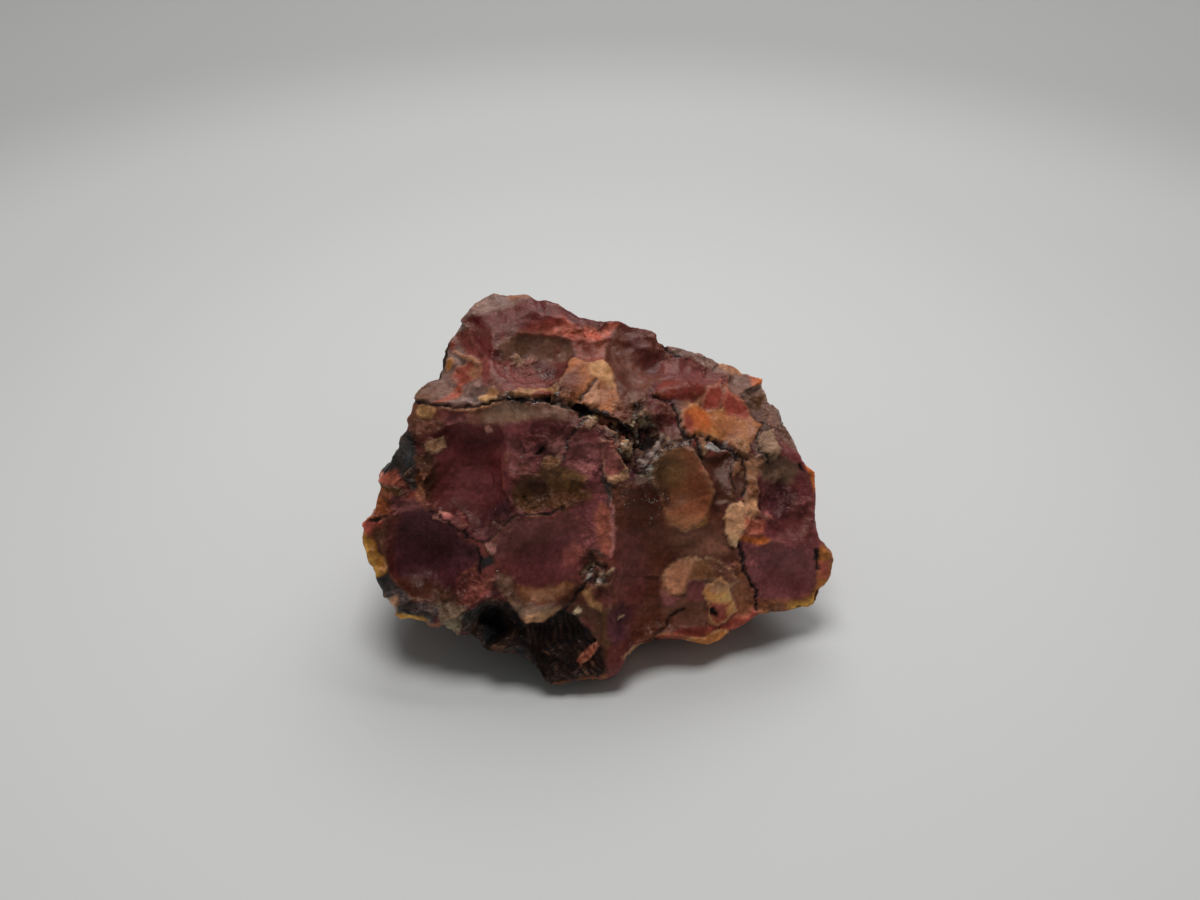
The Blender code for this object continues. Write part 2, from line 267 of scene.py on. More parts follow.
    "smooth face left": ("liver", 9, 0, [(616, 530), (645, 535), (650, 580), (640, 630), (620, 610),
        (614, 570)]),
    "smooth face top": ("brown", 5, 0, [(616, 482), (634, 480), (640, 494), (620, 504)]),
    "smooth face brown": ("brown", 9, 0, [(675, 536), (706, 526), (718, 512), (728, 532), (738, 552),
        (700, 560), (680, 560)]),
    "smooth face light": ("bole", 10, 0, [(650, 600), (668, 600), (664, 630), (645, 645), (630, 640)]),
    "purple": ("plum", 5, 0, [(608, 612), (624, 606), (632, 612), (631, 640), (612, 648), (607, 630)]),
    "toe": ("maroon", 3, 0, [(610, 645), (642, 643), (630, 660), (620, 680), (606, 684), (607, 660)]),
    "toe tan": ("tan", 2, 0, [(621, 655), (632, 648), (642, 643), (642, 650), (628, 660)]),
    "block": ("deep red", 3, 0, [(650, 398), (668, 397), (679, 412), (681, 430), (672, 442), (652, 438),
        (644, 420)]),
    "under block": ("brown", 5, 0, [(618, 402), (648, 396), (650, 425), (636, 432), (622, 420)]),
    "bump rose": ("rose", 5, 0, [(662, 356), (690, 357), (722, 370), (722, 382), (700, 386), (680, 380),
        (662, 382)]),
    "red bump": ("brick", 3, 0, [(652, 394), (662, 383), (680, 379), (692, 378), (707, 384), (704, 393),
        (694, 401), (684, 399), (672, 397), (660, 397)]),
    "red bump dark": ("brick", 4, 0, [(676, 392), (700, 386), (704, 393), (694, 401), (684, 399)]),
    "rim tan": ("ash", 2, 0, [(665, 340), (695, 344), (720, 354), (748, 368), (748, 377), (735, 380),
        (725, 377), (700, 363), (680, 358)]),
    "rim orange": ("peach", 4, 0, [(714, 358), (735, 360), (748, 370), (742, 378), (728, 377)]),
    "olive slope": ("taupe", 3, 0, [(722, 376), (745, 372), (764, 372), (764, 386), (772, 400), (780, 414),
        (770, 424), (752, 414), (738, 396), (726, 386)]),
    "olive slope green": ("olive", 5, 0, [(748, 392), (764, 396), (772, 408), (758, 410)]),
    "ochre corner": ("orange", 3, 0, [(748, 370), (768, 372), (766, 386), (752, 383)]),
    "right edge": ("taupe", 4, 0, [(762, 404), (775, 402), (790, 430), (810, 462), (800, 468), (782, 444),
        (768, 424)]),
    "flank": ("wine", 4, 0, [(770, 422), (784, 440), (812, 462), (822, 500), (826, 545), (840, 562),
        (822, 616), (758, 618), (746, 572), (740, 545), (750, 505), (748, 478), (760, 464), (778, 460)]),
    "flank top": ("drab", 6, 0, [(757, 462), (785, 456), (802, 468), (790, 482), (764, 480)]),
    "flank dark": ("plum", 7, 0, [(765, 486), (785, 482), (798, 494), (797, 512), (775, 518), (764, 500)]),
    "flank plum": ("rose", 8, 0, [(790, 506), (812, 500), (818, 530), (802, 548), (784, 534)]),
    "flank hem": ("rust", 5, 0, [(760, 600), (800, 598), (818, 588), (822, 606), (790, 618), (760, 620)]),
    "flank ochre": ("ochre", 4, 0, [(788, 604), (812, 598), (822, 590), (824, 606), (795, 616)]),
    "gap": ("umber", 3, 0, [(688, 440), (700, 446), (706, 456), (735, 452), (744, 460), (748, 476),
        (742, 492), (736, 502), (722, 508), (710, 506), (714, 488), (705, 468)]),
    "gap right": ("tan", 4, 0, [(745, 456), (762, 458), (764, 470), (752, 482), (746, 476)]),
    "low middle": ("brown", 5, 0, [(664, 604), (704, 598), (710, 624), (690, 632), (664, 634)]),
    "low right": ("rust", 5, 0, [(726, 568), (742, 560), (752, 585), (760, 610), (738, 616), (734, 600)]),
    "brick strip": ("brick", 2, 0.2, [(655, 638), (690, 628), (720, 624), (745, 615), (760, 608), (760, 622),
        (742, 630), (722, 636), (700, 640), (690, 650), (668, 648)]),
    "ochre flake": ("honey", 2, 0.3, [(686, 641), (700, 635), (720, 631), (730, 633), (726, 644), (708, 652),
        (692, 652)]),
    # Flakes, scars and shells with their own edges.
    "amber shell": ("amber", 1.5, 0.35, [(560, 399), (555, 389), (565, 368), (572, 359), (586, 361),
        (602, 357), (613, 371), (616, 390), (619, 402), (611, 413), (600, 415), (586, 409), (572, 403)]),
    "amber red": ("rust", 7, 0, [(556, 392), (564, 372), (578, 366), (580, 386), (572, 402)]),
    "amber glow": ("golden", 4, 0, [(588, 364), (603, 359), (612, 372), (615, 392), (606, 380), (598, 378),
        (590, 374)]),
    "amber glow low": ("amber", 4, 0, [(604, 394), (612, 390), (618, 402), (610, 410), (600, 408)]),
    "pale chip": ("peach", 1, 0.3, [(582, 408), (583, 398), (592, 388), (599, 381), (600, 396), (599, 404),
        (590, 409)]),
    "rubble lip": ("straw", 2, 0.3, [(508, 392), (525, 389), (545, 384), (557, 383), (560, 391), (553, 397),
        (535, 396), (512, 397)]),
    "rubble lip dark": ("brick", 2, -0.2, [(530, 394), (540, 389), (552, 390), (552, 396), (535, 396)]),
    "hollow pebble": ("cream", 2, 0.4, [(513, 355), (520, 351), (526, 355), (522, 361), (515, 360)]),
    "hollow pebble pink": ("pink", 2, 0.3, [(524, 356), (532, 353), (536, 359), (528, 362)]),
    "hollow streak": ("taupe", 2, 0.1, [(536, 336), (541, 334), (542, 344), (536, 350), (530, 352),
        (534, 345)]),
    "hollow streak right": ("rose", 3, 0.1, [(556, 346), (560, 344), (558, 354), (552, 356)]),
    "left chip": ("clay", 1.5, 0.3, [(451, 379), (458, 366), (468, 360), (480, 363), (482, 371), (470, 380),
        (458, 386)]),
    "left chip tan": ("tan", 2, 0, [(466, 372), (478, 364), (482, 370), (472, 378)]),
    "left lip": ("tan", 1.5, 0.3, [(453, 353), (458, 349), (470, 355), (484, 364), (478, 366), (462, 359)]),
    "left pebble": ("ochre", 2, 0.4, [(445, 366), (451, 359), (456, 364), (450, 373), (446, 372)]),
    "left orange": ("clay", 1.5, 0.2, [(448, 340), (457, 341), (459, 348), (453, 351), (446, 346)]),
    "left coral": ("coral", 2, 0.1, [(430, 402), (445, 392), (456, 385), (464, 380), (460, 392),
        (446, 401)]),
    "left brown": ("drab", 2, 0.2, [(412, 400), (416, 390), (428, 382), (444, 382), (452, 388), (436, 398),
        (420, 401)]),
    "left rubble": ("straw", 2, 0.4, [(477, 397), (484, 390), (493, 385), (500, 392), (494, 400),
        (485, 403)]),
    "strip ochre": ("straw", 2, 0.2, [(415, 413), (420, 403), (430, 402), (437, 412), (428, 419),
        (418, 417)]),
    "strip chip": ("pink", 1.5, 0.3, [(482, 427), (490, 424), (491, 432), (485, 435)]),
    "peach spot": ("tan", 2, 0.3, [(422, 446), (430, 438), (444, 436), (446, 447), (436, 454), (427, 450)]),
    "pink chip": ("flesh", 1.2, 0.5, [(433, 514), (438, 511), (448, 512), (456, 516), (459, 507), (464, 515),
        (466, 523), (462, 530), (452, 527), (440, 520), (434, 520)]),
    "pink chip low": ("rose", 2, 0, [(450, 517), (459, 511), (464, 517), (466, 525), (462, 530),
        (452, 527)]),
    "pink flake": ("pink", 1.2, 0.3, [(484, 542), (492, 542), (497, 550), (491, 557), (486, 551)]),
    "ochre spot": ("sienna", 1.5, 0.3, [(540, 468), (545, 458), (558, 454), (563, 460), (556, 467),
        (546, 471)]),
    "tear chip": ("claret", 1.2, 0.5, [(600, 439), (610, 443), (620, 457), (629, 469), (628, 477),
        (615, 483), (606, 481), (601, 460)]),
    "tear chip rose": ("rose", 4, 0, [(602, 441), (609, 444), (614, 458), (606, 466), (602, 455)]),
    "tear rim": ("peach", 1.5, 0, [(620, 458), (629, 469), (629, 478), (616, 484), (606, 481), (607, 476),
        (618, 477), (624, 470)]),
    "grain lump": ("golden", 1.5, 0.5, [(622, 440), (632, 443), (634, 453), (629, 458), (622, 450)]),
    "crust lump": ("cream", 1.5, 0.4, [(584, 416), (594, 417), (597, 424), (590, 428), (585, 422)]),
    "olive lump": ("olive", 2, 0.4, [(622, 420), (632, 416), (638, 424), (630, 431)]),
    "small red": ("red", 1.2, 0.3, [(702, 398), (708, 386), (720, 383), (723, 396), (718, 410), (711, 414),
        (704, 408)]),
    "orange flake": ("apricot", 1.2, 0.45, [(680, 416), (690, 405), (700, 403), (706, 410), (712, 413),
        (720, 410), (722, 400), (724, 392), (727, 387), (735, 395), (745, 405), (751, 414), (760, 424),
        (758, 432), (752, 440), (750, 448), (748, 455), (742, 452), (730, 446), (718, 440), (709, 437),
        (700, 434), (694, 437), (688, 432), (680, 424)]),
    "red flake": ("red", 4, 0, [(721, 408), (722, 398), (727, 386), (737, 396), (750, 413), (750, 420),
        (738, 420), (726, 416)]),
    "orange flake pale": ("amber", 6, 0, [(712, 420), (726, 420), (738, 426), (736, 440), (720, 436)]),
    "orange flake red": ("red", 5, 0, [(680, 418), (690, 412), (694, 426), (690, 434), (684, 428)]),
    "orange flake core": ("orange", 6, 0, [(686, 410), (702, 406), (710, 418), (708, 432), (692, 428)]),
    "peach flake ochre": ("straw", 5, 0, [(732, 442), (748, 440), (748, 456), (738, 450)]),
    "peach flake grey": ("tan", 4, 0, [(746, 424), (758, 428), (757, 438), (748, 442)]),
    "peach tongue": ("tan", 1.2, 0.3, [(699, 437), (708, 437), (710, 450), (705, 459), (701, 449)]),
    "white patch": ("white", 1.5, 0.1, [(708, 446), (714, 442), (726, 444), (722, 452), (712, 450)]),
    "cream chip": ("stone", 1.2, 0.4, [(757, 438), (764, 432), (773, 428), (779, 437), (780, 448),
        (776, 461), (766, 462), (760, 455), (756, 447)]),
    "gap bead": ("tan", 2, 0.3, [(733, 462), (740, 460), (741, 470), (735, 474)]),
    "edge orange": ("sienna", 2, 0.3, [(742, 492), (745, 480), (755, 477), (758, 495), (759, 513),
        (752, 519), (744, 505)]),
    "peach chip": ("peach", 1.2, 0.5, [(723, 516), (731, 504), (741, 500), (746, 512), (753, 520),
        (748, 530), (742, 538), (740, 550), (730, 543), (724, 530)]),
    "peach chip right": ("peach", 4, 0, [(742, 508), (752, 500), (760, 512), (752, 528), (742, 532),
        (738, 520)]),
    "flank pink": ("coral", 5, 0.1, [(744, 515), (766, 520), (763, 533), (745, 535)]),
    "flank fleck": ("pink", 1.5, 0.2, [(764, 514), (770, 511), (771, 520), (766, 521)]),
    "rust ledge": ("orange", 2, -0.3, [(741, 537), (768, 535), (772, 539), (760, 543), (742, 544)]),
    "right tip": ("honey", 2, 0, [(815, 560), (822, 544), (838, 556), (838, 574), (828, 588), (818, 592),
        (816, 578)]),
    "right tip red": ("red", 4, 0, [(817, 560), (828, 560), (828, 576), (818, 580)]),
    "right edge orange": ("orange", 2, 0, [(805, 463), (816, 466), (820, 488), (813, 491), (809, 478)]),
    "olive shell": ("sienna", 1.2, 0.45, [(650, 458), (664, 449), (680, 446), (695, 450), (704, 462),
        (708, 478), (714, 492), (712, 505), (705, 518), (692, 527), (682, 530), (670, 525), (664, 512),
        (660, 498), (652, 485), (648, 470)]),
    "olive shell left": ("olive", 5, 0, [(652, 460), (668, 452), (678, 460), (680, 480), (670, 500),
        (660, 496), (654, 480)]),
    "olive shell glow": ("moss", 5, 0, [(672, 462), (684, 462), (682, 484), (672, 490), (668, 476)]),
    "olive shell rust": ("rust", 6, 0, [(684, 450), (698, 456), (708, 480), (712, 492), (702, 498),
        (690, 492), (684, 472)]),
    "olive shell shade": ("umber", 5, 0, [(655, 484), (668, 490), (672, 508), (662, 504)]),
    "olive shell rim": ("copper", 5, 0, [(664, 512), (680, 508), (698, 498), (713, 490), (712, 506),
        (702, 521), (684, 530), (668, 525)]),
    "crescent": ("sienna", 1.2, 0.35, [(661, 580), (666, 569), (678, 559), (694, 556), (710, 557),
        (724, 563), (735, 573), (741, 584), (730, 588), (718, 580), (704, 580), (694, 580), (688, 586),
        (684, 593), (675, 596), (667, 590)]),
    "crescent left": ("buff", 4, 0, [(661, 580), (667, 569), (679, 560), (694, 558), (692, 572), (687, 584),
        (680, 594), (672, 595), (665, 588)]),
    "crescent right": ("brown", 5, 0, [(708, 559), (726, 566), (740, 582), (728, 584), (715, 574)]),
    "middle grey": ("rose", 2, 0.1, [(686, 580), (704, 579), (707, 590), (704, 601), (694, 604),
        (688, 597)]),
    "low pink": ("rose", 2, 0.2, [(660, 588), (670, 596), (681, 599), (672, 607), (664, 604)]),
    "grey chip": ("apricot", 1.2, 0.45, [(705, 589), (711, 581), (722, 577), (729, 585), (732, 598),
        (736, 610), (728, 620), (716, 628), (710, 622), (708, 610), (703, 600)]),
    "grey chip top": ("tan", 3, 0, [(709, 585), (722, 577), (729, 586), (722, 592), (712, 592)]),
    "grey chip low": ("brick", 4, 0, [(707, 602), (728, 604), (727, 618), (716, 626), (710, 616)]),
    "hollow chip": ("coral", 1.2, 0.5, [(574, 656), (583, 648), (595, 640), (598, 648), (590, 657),
        (580, 662)]),
    "crystal nub": ("cream", 1.5, 0.5, [(597, 573), (602, 571), (605, 575), (604, 580), (599, 581),
        (596, 578)]),
    "crystal oval": ("cream", 1.2, 0.5, [(608, 572), (611, 568), (614, 568), (613, 571), (609, 574)]),
    "crystal low": ("cream", 1.2, 0.4, [(572, 608), (576, 607), (579, 611), (577, 614), (573, 612)]),
    "crystal bead": ("cream", 1.2, 0.4, [(621, 618), (624, 614), (627, 615), (625, 619), (622, 621)]),
    "white grain red": ("maroon", 3, 0, [(595, 588), (610, 588), (616, 600), (606, 608), (597, 602)]),
}

# The broken faces of the camera's side: how far each is dished, in mm, and its outline in pixels. They
# meet in sharp ridges.
FACES = {
    "top band": (0.5, [(466, 320), (500, 309), (545, 299), (600, 318), (640, 326), (666, 350), (640, 348),
        (614, 338), (600, 340), (575, 341), (545, 333), (520, 332), (500, 346), (486, 357), (474, 345)]),
    "top hollow": (1.7, [(486, 358), (503, 345), (520, 333), (545, 334), (575, 342), (572, 358), (560, 378),
        (556, 392), (530, 394), (505, 392), (492, 376)]),
    "under the lip": (0.6, [(576, 343), (600, 341), (614, 338), (606, 352), (603, 360), (588, 362),
        (576, 358)]),
    "saddle": (1.4, [(604, 358), (608, 342), (616, 338), (645, 348), (668, 354), (666, 378), (650, 384),
        (645, 398), (626, 404), (619, 398), (613, 374)]),
    "left slope": (0.7, [(446, 352), (461, 320), (472, 340), (486, 358), (480, 364), (460, 352)]),
    "left chips": (0.7, [(450, 380), (458, 354), (482, 366), (492, 376), (478, 382), (462, 386)]),
    "left low": (0.9, [(410, 400), (420, 388), (444, 380), (460, 387), (478, 384), (500, 390), (506, 396),
        (480, 401), (450, 402), (430, 400)]),
    "strip left": (0.5, [(402, 432), (414, 406), (432, 405), (462, 410), (470, 421), (448, 424),
        (428, 432)]),
    "strip": (0.4, [(464, 410), (502, 403), (546, 402), (578, 408), (588, 414), (576, 428), (560, 432),
        (545, 421), (520, 421), (500, 425), (474, 421)]),
    "red bowl": (2.5, [(428, 434), (450, 425), (500, 426), (512, 438), (502, 458), (500, 480), (508, 500),
        (516, 512), (500, 530), (482, 540), (464, 537), (447, 515), (428, 506), (420, 488), (436, 460)]),
    "bark face": (0.8, [(404, 436), (426, 436), (434, 460), (420, 486), (424, 502), (404, 496), (398, 476),
        (410, 460)]),
    "grey pit": (0.9, [(504, 437), (518, 440), (522, 455), (528, 474), (512, 477), (504, 462)]),
    "grain face": (0.8, [(516, 436), (545, 423), (578, 430), (566, 444), (562, 462), (536, 470),
        (524, 456)]),
    "grain right": (0.7, [(568, 444), (590, 416), (600, 438), (601, 470), (584, 470), (564, 462)]),
    "olive patch": (1.3, [(520, 478), (540, 470), (562, 463), (584, 470), (588, 486), (576, 502), (560, 511),
        (530, 514), (512, 510), (504, 494)]),
    "ridge strip": (0.6, [(590, 486), (601, 474), (610, 486), (610, 520), (614, 552), (600, 556), (586, 545),
        (578, 520)]),
    "plum bowl": (2.7, [(384, 520), (400, 511), (422, 508), (446, 522), (466, 541), (480, 547), (476, 562),
        (464, 574), (456, 592), (440, 600), (418, 598), (400, 590), (390, 572), (384, 548)]),
    "rust bowl": (2.1, [(486, 545), (502, 537), (516, 520), (545, 516), (576, 520), (588, 545), (582, 562),
        (572, 578), (560, 596), (545, 612), (524, 618), (510, 600), (500, 580), (494, 562)]),
    "ledge": (0.6, [(458, 592), (462, 575), (480, 569), (493, 566), (502, 584), (508, 600), (490, 602),
        (468, 604)]),
    "smooth face": (1.6, [(612, 484), (650, 486), (660, 500), (668, 525), (685, 533), (707, 520), (716, 506),
        (724, 512), (728, 534), (738, 550), (700, 556), (678, 560), (662, 580), (660, 592), (668, 606),
        (662, 632), (640, 643), (618, 648), (611, 636), (620, 604), (606, 588), (614, 558), (616, 540),
        (611, 510)]),
    "shell": (0.5, [(652, 460), (664, 451), (680, 448), (696, 452), (706, 478), (712, 492), (706, 512),
        (690, 526), (674, 524), (664, 508), (658, 490)]),
    "block": (0.3, [(652, 399), (668, 399), (678, 412), (680, 430), (670, 440), (654, 436), (646, 420)]),
    "pocket": (1.0, [(622, 404), (646, 398), (650, 424), (656, 438), (650, 456), (636, 452), (628, 436),
        (618, 420)]),
    "bump top": (0.6, [(664, 356), (692, 358), (720, 371), (718, 382), (704, 384), (688, 378), (668, 380)]),
    "red bump": (-0.9, [(652, 394), (662, 383), (680, 379), (694, 378), (707, 384), (702, 395), (692, 401),
        (672, 397)]),
    "right rim": (0.4, [(668, 347), (695, 350), (722, 362), (748, 374), (728, 378), (700, 363), (682, 358)]),
    "olive slope": (0.7, [(724, 378), (748, 378), (762, 386), (768, 400), (778, 414), (770, 424), (754, 416),
        (738, 398)]),
    "gap left": (0.9, [(690, 442), (700, 446), (706, 458), (732, 456), (728, 478), (734, 500), (720, 506),
        (712, 500), (713, 484), (704, 466)]),
    "gap right": (0.6, [(736, 458), (745, 462), (746, 480), (738, 500), (730, 480)]),
    "flank top": (1.3, [(760, 464), (780, 456), (802, 468), (812, 496), (796, 508), (776, 518), (760, 512),
        (757, 490)]),
    "flank middle": (1.1, [(770, 522), (798, 510), (813, 498), (818, 530), (814, 556), (790, 548),
        (768, 538)]),
    "flank low": (1.2, [(744, 548), (768, 542), (790, 550), (814, 560), (816, 590), (800, 602), (762, 608),
        (750, 580)]),
    "low right": (0.5, [(738, 564), (744, 570), (758, 600), (758, 610), (738, 616), (734, 596), (728, 582)]),
    "low middle": (0.6, [(670, 608), (690, 602), (704, 602), (710, 624), (690, 630), (664, 634)]),
    "hollow": (1.6, [(524, 624), (545, 622), (560, 609), (575, 612), (586, 626), (604, 650), (608, 668),
        (590, 674), (560, 680), (540, 676), (530, 655)]),
    "cave": (1.8, [(478, 612), (492, 602), (506, 602), (518, 618), (526, 640), (530, 655), (506, 652),
        (482, 644), (474, 630)]),
    "tan olive": (0.6, [(562, 602), (584, 583), (596, 602), (606, 614), (608, 650), (592, 636), (576, 612)]),
    "flange": (0.7, [(364, 520), (376, 496), (390, 496), (394, 506), (384, 516)]),
    "flange low": (0.6, [(364, 534), (376, 534), (384, 556), (386, 570), (374, 570)]),
}

# Lines: colour, width in pixels, how deep they are cut in mm, and the points along them. The black ones are
# painted shade in cracks, slits, nicks and holes and along the step under the red bowl; the pink ridge light
# is a painted highlight along a ridge.
LINES = {
    "left crack": ("black", 1.1, 0.5, [(405, 402), (425, 403), (440, 406), (458, 408), (475, 405),
        (500, 400), (514, 398)]),
    "open crack": ("black", 2.8, 0.8, [(510, 397), (530, 399), (552, 400)]),
    "narrow crack": ("black", 2.2, 0.7, [(550, 400), (568, 404), (586, 410)]),
    "wide crack": ("black", 4.6, 1.1, [(584, 410), (600, 414), (614, 423), (626, 432)]),
    "side crack": ("black", 1.1, 0.4, [(590, 412), (578, 428), (567, 442), (563, 458)]),
    "shell crack": ("black", 1.0, 0.4, [(580, 401), (590, 387), (598, 379)]),
    "bowl edge": ("black", 1.0, 0.3, [(464, 538), (482, 541), (496, 532), (506, 522), (516, 516), (545, 514),
        (562, 508)]),
    "slot": ("black", 1.8, 0.9, [(535, 457), (543, 448)]),
    "block top": ("black", 1.4, 0.5, [(654, 396), (662, 397), (670, 400)]),
    "block right": ("black", 1.4, 0.6, [(672, 404), (679, 412), (680, 428), (686, 437), (694, 434),
        (700, 445), (705, 460)]),
    "peach crack": ("black", 1.5, 0.7, [(709, 438), (722, 446), (735, 452), (748, 459)]),
    "gap crack left": ("black", 0.9, 0.4, [(735, 454), (731, 466), (732, 478), (736, 490)]),
    "gap crack right": ("black", 0.9, 0.4, [(742, 458), (748, 470), (746, 482), (742, 496)]),
    "chip crack": ("black", 0.9, 0.4, [(758, 430), (757, 440), (759, 450), (766, 456), (768, 463)]),
    "flank crack": ("black", 1.1, 0.6, [(740, 542), (742, 556), (746, 572), (755, 588), (759, 600),
        (759, 612)]),
    "flank nick": ("black", 1.4, 0.3, [(800, 464), (802, 474)]),
    "tip nick": ("black", 1.6, 0.4, [(817, 552), (816, 568)]),
    "low crack": ("black", 0.9, 0.4, [(684, 606), (673, 618), (663, 630), (654, 637)]),
    "chip hole": ("black", 2.6, 0.8, [(713, 612), (716, 613)]),
    "top slit": ("black", 1.1, 0.5, [(664, 345), (672, 351), (681, 357)]),
    "left notch": ("black", 1.6, 0.3, [(449, 342), (444, 360), (439, 376)]),
    "pink chip crack": ("black", 1.0, 0.4, [(430, 511), (438, 513), (446, 521), (458, 531), (466, 536)]),
    "plum crack": ("black", 1.2, 0.3, [(386, 516), (376, 520), (370, 519)]),
    "ledge crack": ("black", 1.2, 0.3, [(476, 546), (478, 562), (477, 572)]),
    "hollow crack": ("black", 1.2, 0.3, [(562, 608), (575, 598), (588, 580)]),
    "crack lip": ("tan", 1.2, -0.2, [(440, 409), (470, 409), (500, 403)]),
    "ridge light": ("pink", 1.2, 0, [(611, 500), (612, 520), (615, 545), (613, 556)]),
}

# Where white grains are thick: how thick, and the middle and half width and height in pixels.
GRAINS = {
    "pocket": (0.35, (648, 440), (30, 22)),
    "pocket top": (0.3, (642, 412), (14, 18)),
    "pocket hem": (0.3, (648, 468), (18, 20)),
    "crack mouth": (0.4, (585, 420), (22, 12)),
    "crack left": (0.45, (508, 394), (16, 9)),
    "top hollow": (0.35, (525, 372), (38, 22)),
    "grain face": (0.35, (560, 445), (50, 26)),
    "grey patch": (0.4, (514, 458), (11, 20)),
    "white grain": (0.3, (600, 572), (18, 14)),
    "white grain low": (0.25, (606, 600), (18, 16)),
    "rust bowl": (0.2, (520, 545), (36, 26)),
    "face top": (0.45, (645, 500), (30, 34)),
    "flank": (0.25, (780, 540), (36, 30)),
    "cream ledge": (0.3, (455, 615), (16, 14)),
    "bowl hem": (0.3, (500, 512), (22, 14)),
}

# White crusts, given as lines: how thick the grains are, the line's half width and the points along it.
CRUSTS = {
    "pocket": (0.95, 1.8, [(655, 457), (664, 452), (674, 448), (688, 442)]),
    "pocket top": (0.9, 2.2, [(637, 403), (639, 411), (638, 423)]),
    "crack lip": (0.8, 2.6, [(505, 396), (514, 400), (530, 402), (548, 402)]),
    "crack mouth": (0.8, 2.2, [(604, 428), (612, 437), (619, 449), (627, 463)]),
    "hollow": (0.75, 2.4, [(530, 356), (540, 369), (553, 376), (558, 388), (555, 397)]),
    "hollow left": (0.5, 3.0, [(496, 340), (500, 350), (508, 362), (506, 380), (500, 392)]),
    "side crack": (0.6, 2.4, [(586, 420), (574, 432), (566, 444), (562, 458)]),
    "crystals": (0.9, 1.8, [(581, 574), (587, 570), (592, 566), (598, 564)]),
    "face row": (0.6, 1.6, [(620, 577), (640, 579), (655, 577), (676, 581)]),
    "face row high": (0.55, 2.0, [(624, 498), (640, 505), (656, 502)]),
    "ridge top": (0.5, 2.4, [(611, 484), (612, 504), (613, 520)]),
    "bowl hem": (0.5, 2.6, [(497, 572), (504, 586), (514, 600), (524, 618)]),
    "pink chip": (0.5, 2.4, [(432, 511), (442, 509), (456, 512)]),
    "grey pit": (0.6, 3.0, [(512, 438), (516, 452), (516, 468), (522, 476)]),
    "pocket hem": (0.9, 1.8, [(645, 460), (648, 470), (649, 477)]),
    "peach crack": (0.6, 2.2, [(712, 444), (724, 449), (738, 456)]),
}

# Crumbly places, with small bits of every shade: the outline of each in pixels.
RUBBLE = {
    "pocket": [
        (606, 428), (618, 424), (630, 420), (636, 402), (644, 402), (650, 418), (658, 434), (676, 440),
        (694, 434), (690, 444), (668, 452), (656, 460), (652, 478), (640, 476), (628, 468), (618, 450),
    ],
    "crystals": [(578, 572), (588, 562), (602, 562), (612, 570), (612, 580), (604, 588), (592, 586),
        (582, 580)],
}
RUBBLE_CELL = 1.15
# The bits' colours: how strong each is, and between which two values of a bit's random number it sets in.
RUBBLE_COLOURS = (
    ("coal", 0.8, -0.3, -0.4),
    ("dun", 0.6, 0.1, 0.2),
    ("stone", 0.8, 0.4, 0.5),
    ("white", 0.6, 0.8, 0.85),
)

# The fibres bared in the black hollow: they run round one point, so far apart and so deep, in pixels and mm.
FIBRE_MIDDLE = (648, 606)
FIBRE_SPACING = 5.6
FIBRE_DEPTH = 0.22

# Smooth conchoidal faces, with hardly any relief of their own: middle, and half width and height, in pixels.
CALM = {
    "smooth face": ((655, 560), (50, 76)),
    "smooth face right": ((705, 540), (30, 26)),
    "red bowl": ((468, 478), (40, 46)),
    "plum bowl": ((425, 552), (40, 42)),
    "rust bowl": ((540, 560), (40, 32)),
    "saddle": ((634, 365), (28, 32)),
    "top band": ((540, 315), (70, 16)),
    "flank": ((790, 560), (34, 50)),
    "strip": ((520, 412), (50, 12)),
    "peach flake": ((722, 420), (30, 28)),
    "olive shell": ((684, 490), (30, 36)),
    "amber shell": ((600, 380), (16, 26)),
    "crescent": ((684, 570), (24, 14)),
}

# The ground under all marks is maroon, with clouds of other colours: colour, size in mm, seed, and the two
# numbers between which the clouds set in.
GROUND = (
    ("plum", 22, 30, 0.0, 0.3),
    ("brick", 15, 31, 0.05, 0.4),
    ("brown", 17, 32, 0.1, 0.4),
    ("charcoal", 26, 33, 0.32, 0.42),
    ("taupe", 14, 34, 0.3, 0.5),
)

# The sides that the photo doesn't show: how often each colour comes up among their flakes, how many flakes
# and wide shallow dishes they have, and how many small chips the ridges have all over.
BACK_COLOURS = {
    "maroon": 5, "brick": 4, "plum": 4, "deep red": 3, "rose": 3, "brown": 4, "umber": 2, "taupe": 2,
    "olive": 2, "rust": 2, "coral": 2, "tan": 2, "peach": 1, "orange": 1, "ochre": 2, "charcoal": 2,
}
BACK_MARKS = 150
BACK_DISHES = 120
RIDGE_CHIPS = 420

# Random flakes all over: size in mm, relief in mm, seed, and how far their borders wander in mm.
FLAKES = ((7.5, 0.75, 5, 1.0), (3.6, 0.4, 6, 0.5))

# Light and dark mottles all over: size in mm, strength and seed.
MOTTLES = ((9, 0.22, 61), (2.6, 0.2, 62), (1.0, 0.16, 63))

# The paint of the camera's side is multiplied by these, in red, green and blue: by the first where it stands
# upright, and by the second where it faces up. This is painted light and shade: upright faces are painted
# lighter and upward faces darker, to offset how the lamps light them.
FRONT_PAINTED_LIGHT_GAIN = np.array((2.4, 2.66, 2.68))
TOP_PAINTED_SHADE_GAIN = np.array((0.92, 0.75, 0.73))


def linear(name):
    """A colour of PALETTE as linear light."""
    share = np.array(PALETTE[name]) / 255
    return np.where(share <= 0.04045, share / 12.92, ((share + 0.055) / 1.055) ** 2.4)


def paint(tint, colour, share):
    """Moves each vertex's tint towards a colour of PALETTE by its share."""
    tint += (linear(colour) - tint) * share[:, None]


def smooth_step(low, high, value):
    """0 at low and 1 at high, with a smooth rise, or a fall where low is the greater."""
    share = np.clip((value - low) / (high - low), 0, 1)
    return share * share * (3 - 2 * share)


def clouds(points, cell, seed, octaves=3):
    """Soft noise from about -1 to 1, whose lumps are about a cell across."""
    return np.array([noise.fractal(p, 1.0, 2.0, octaves) for p in (points / cell + 7.3 * seed).tolist()])


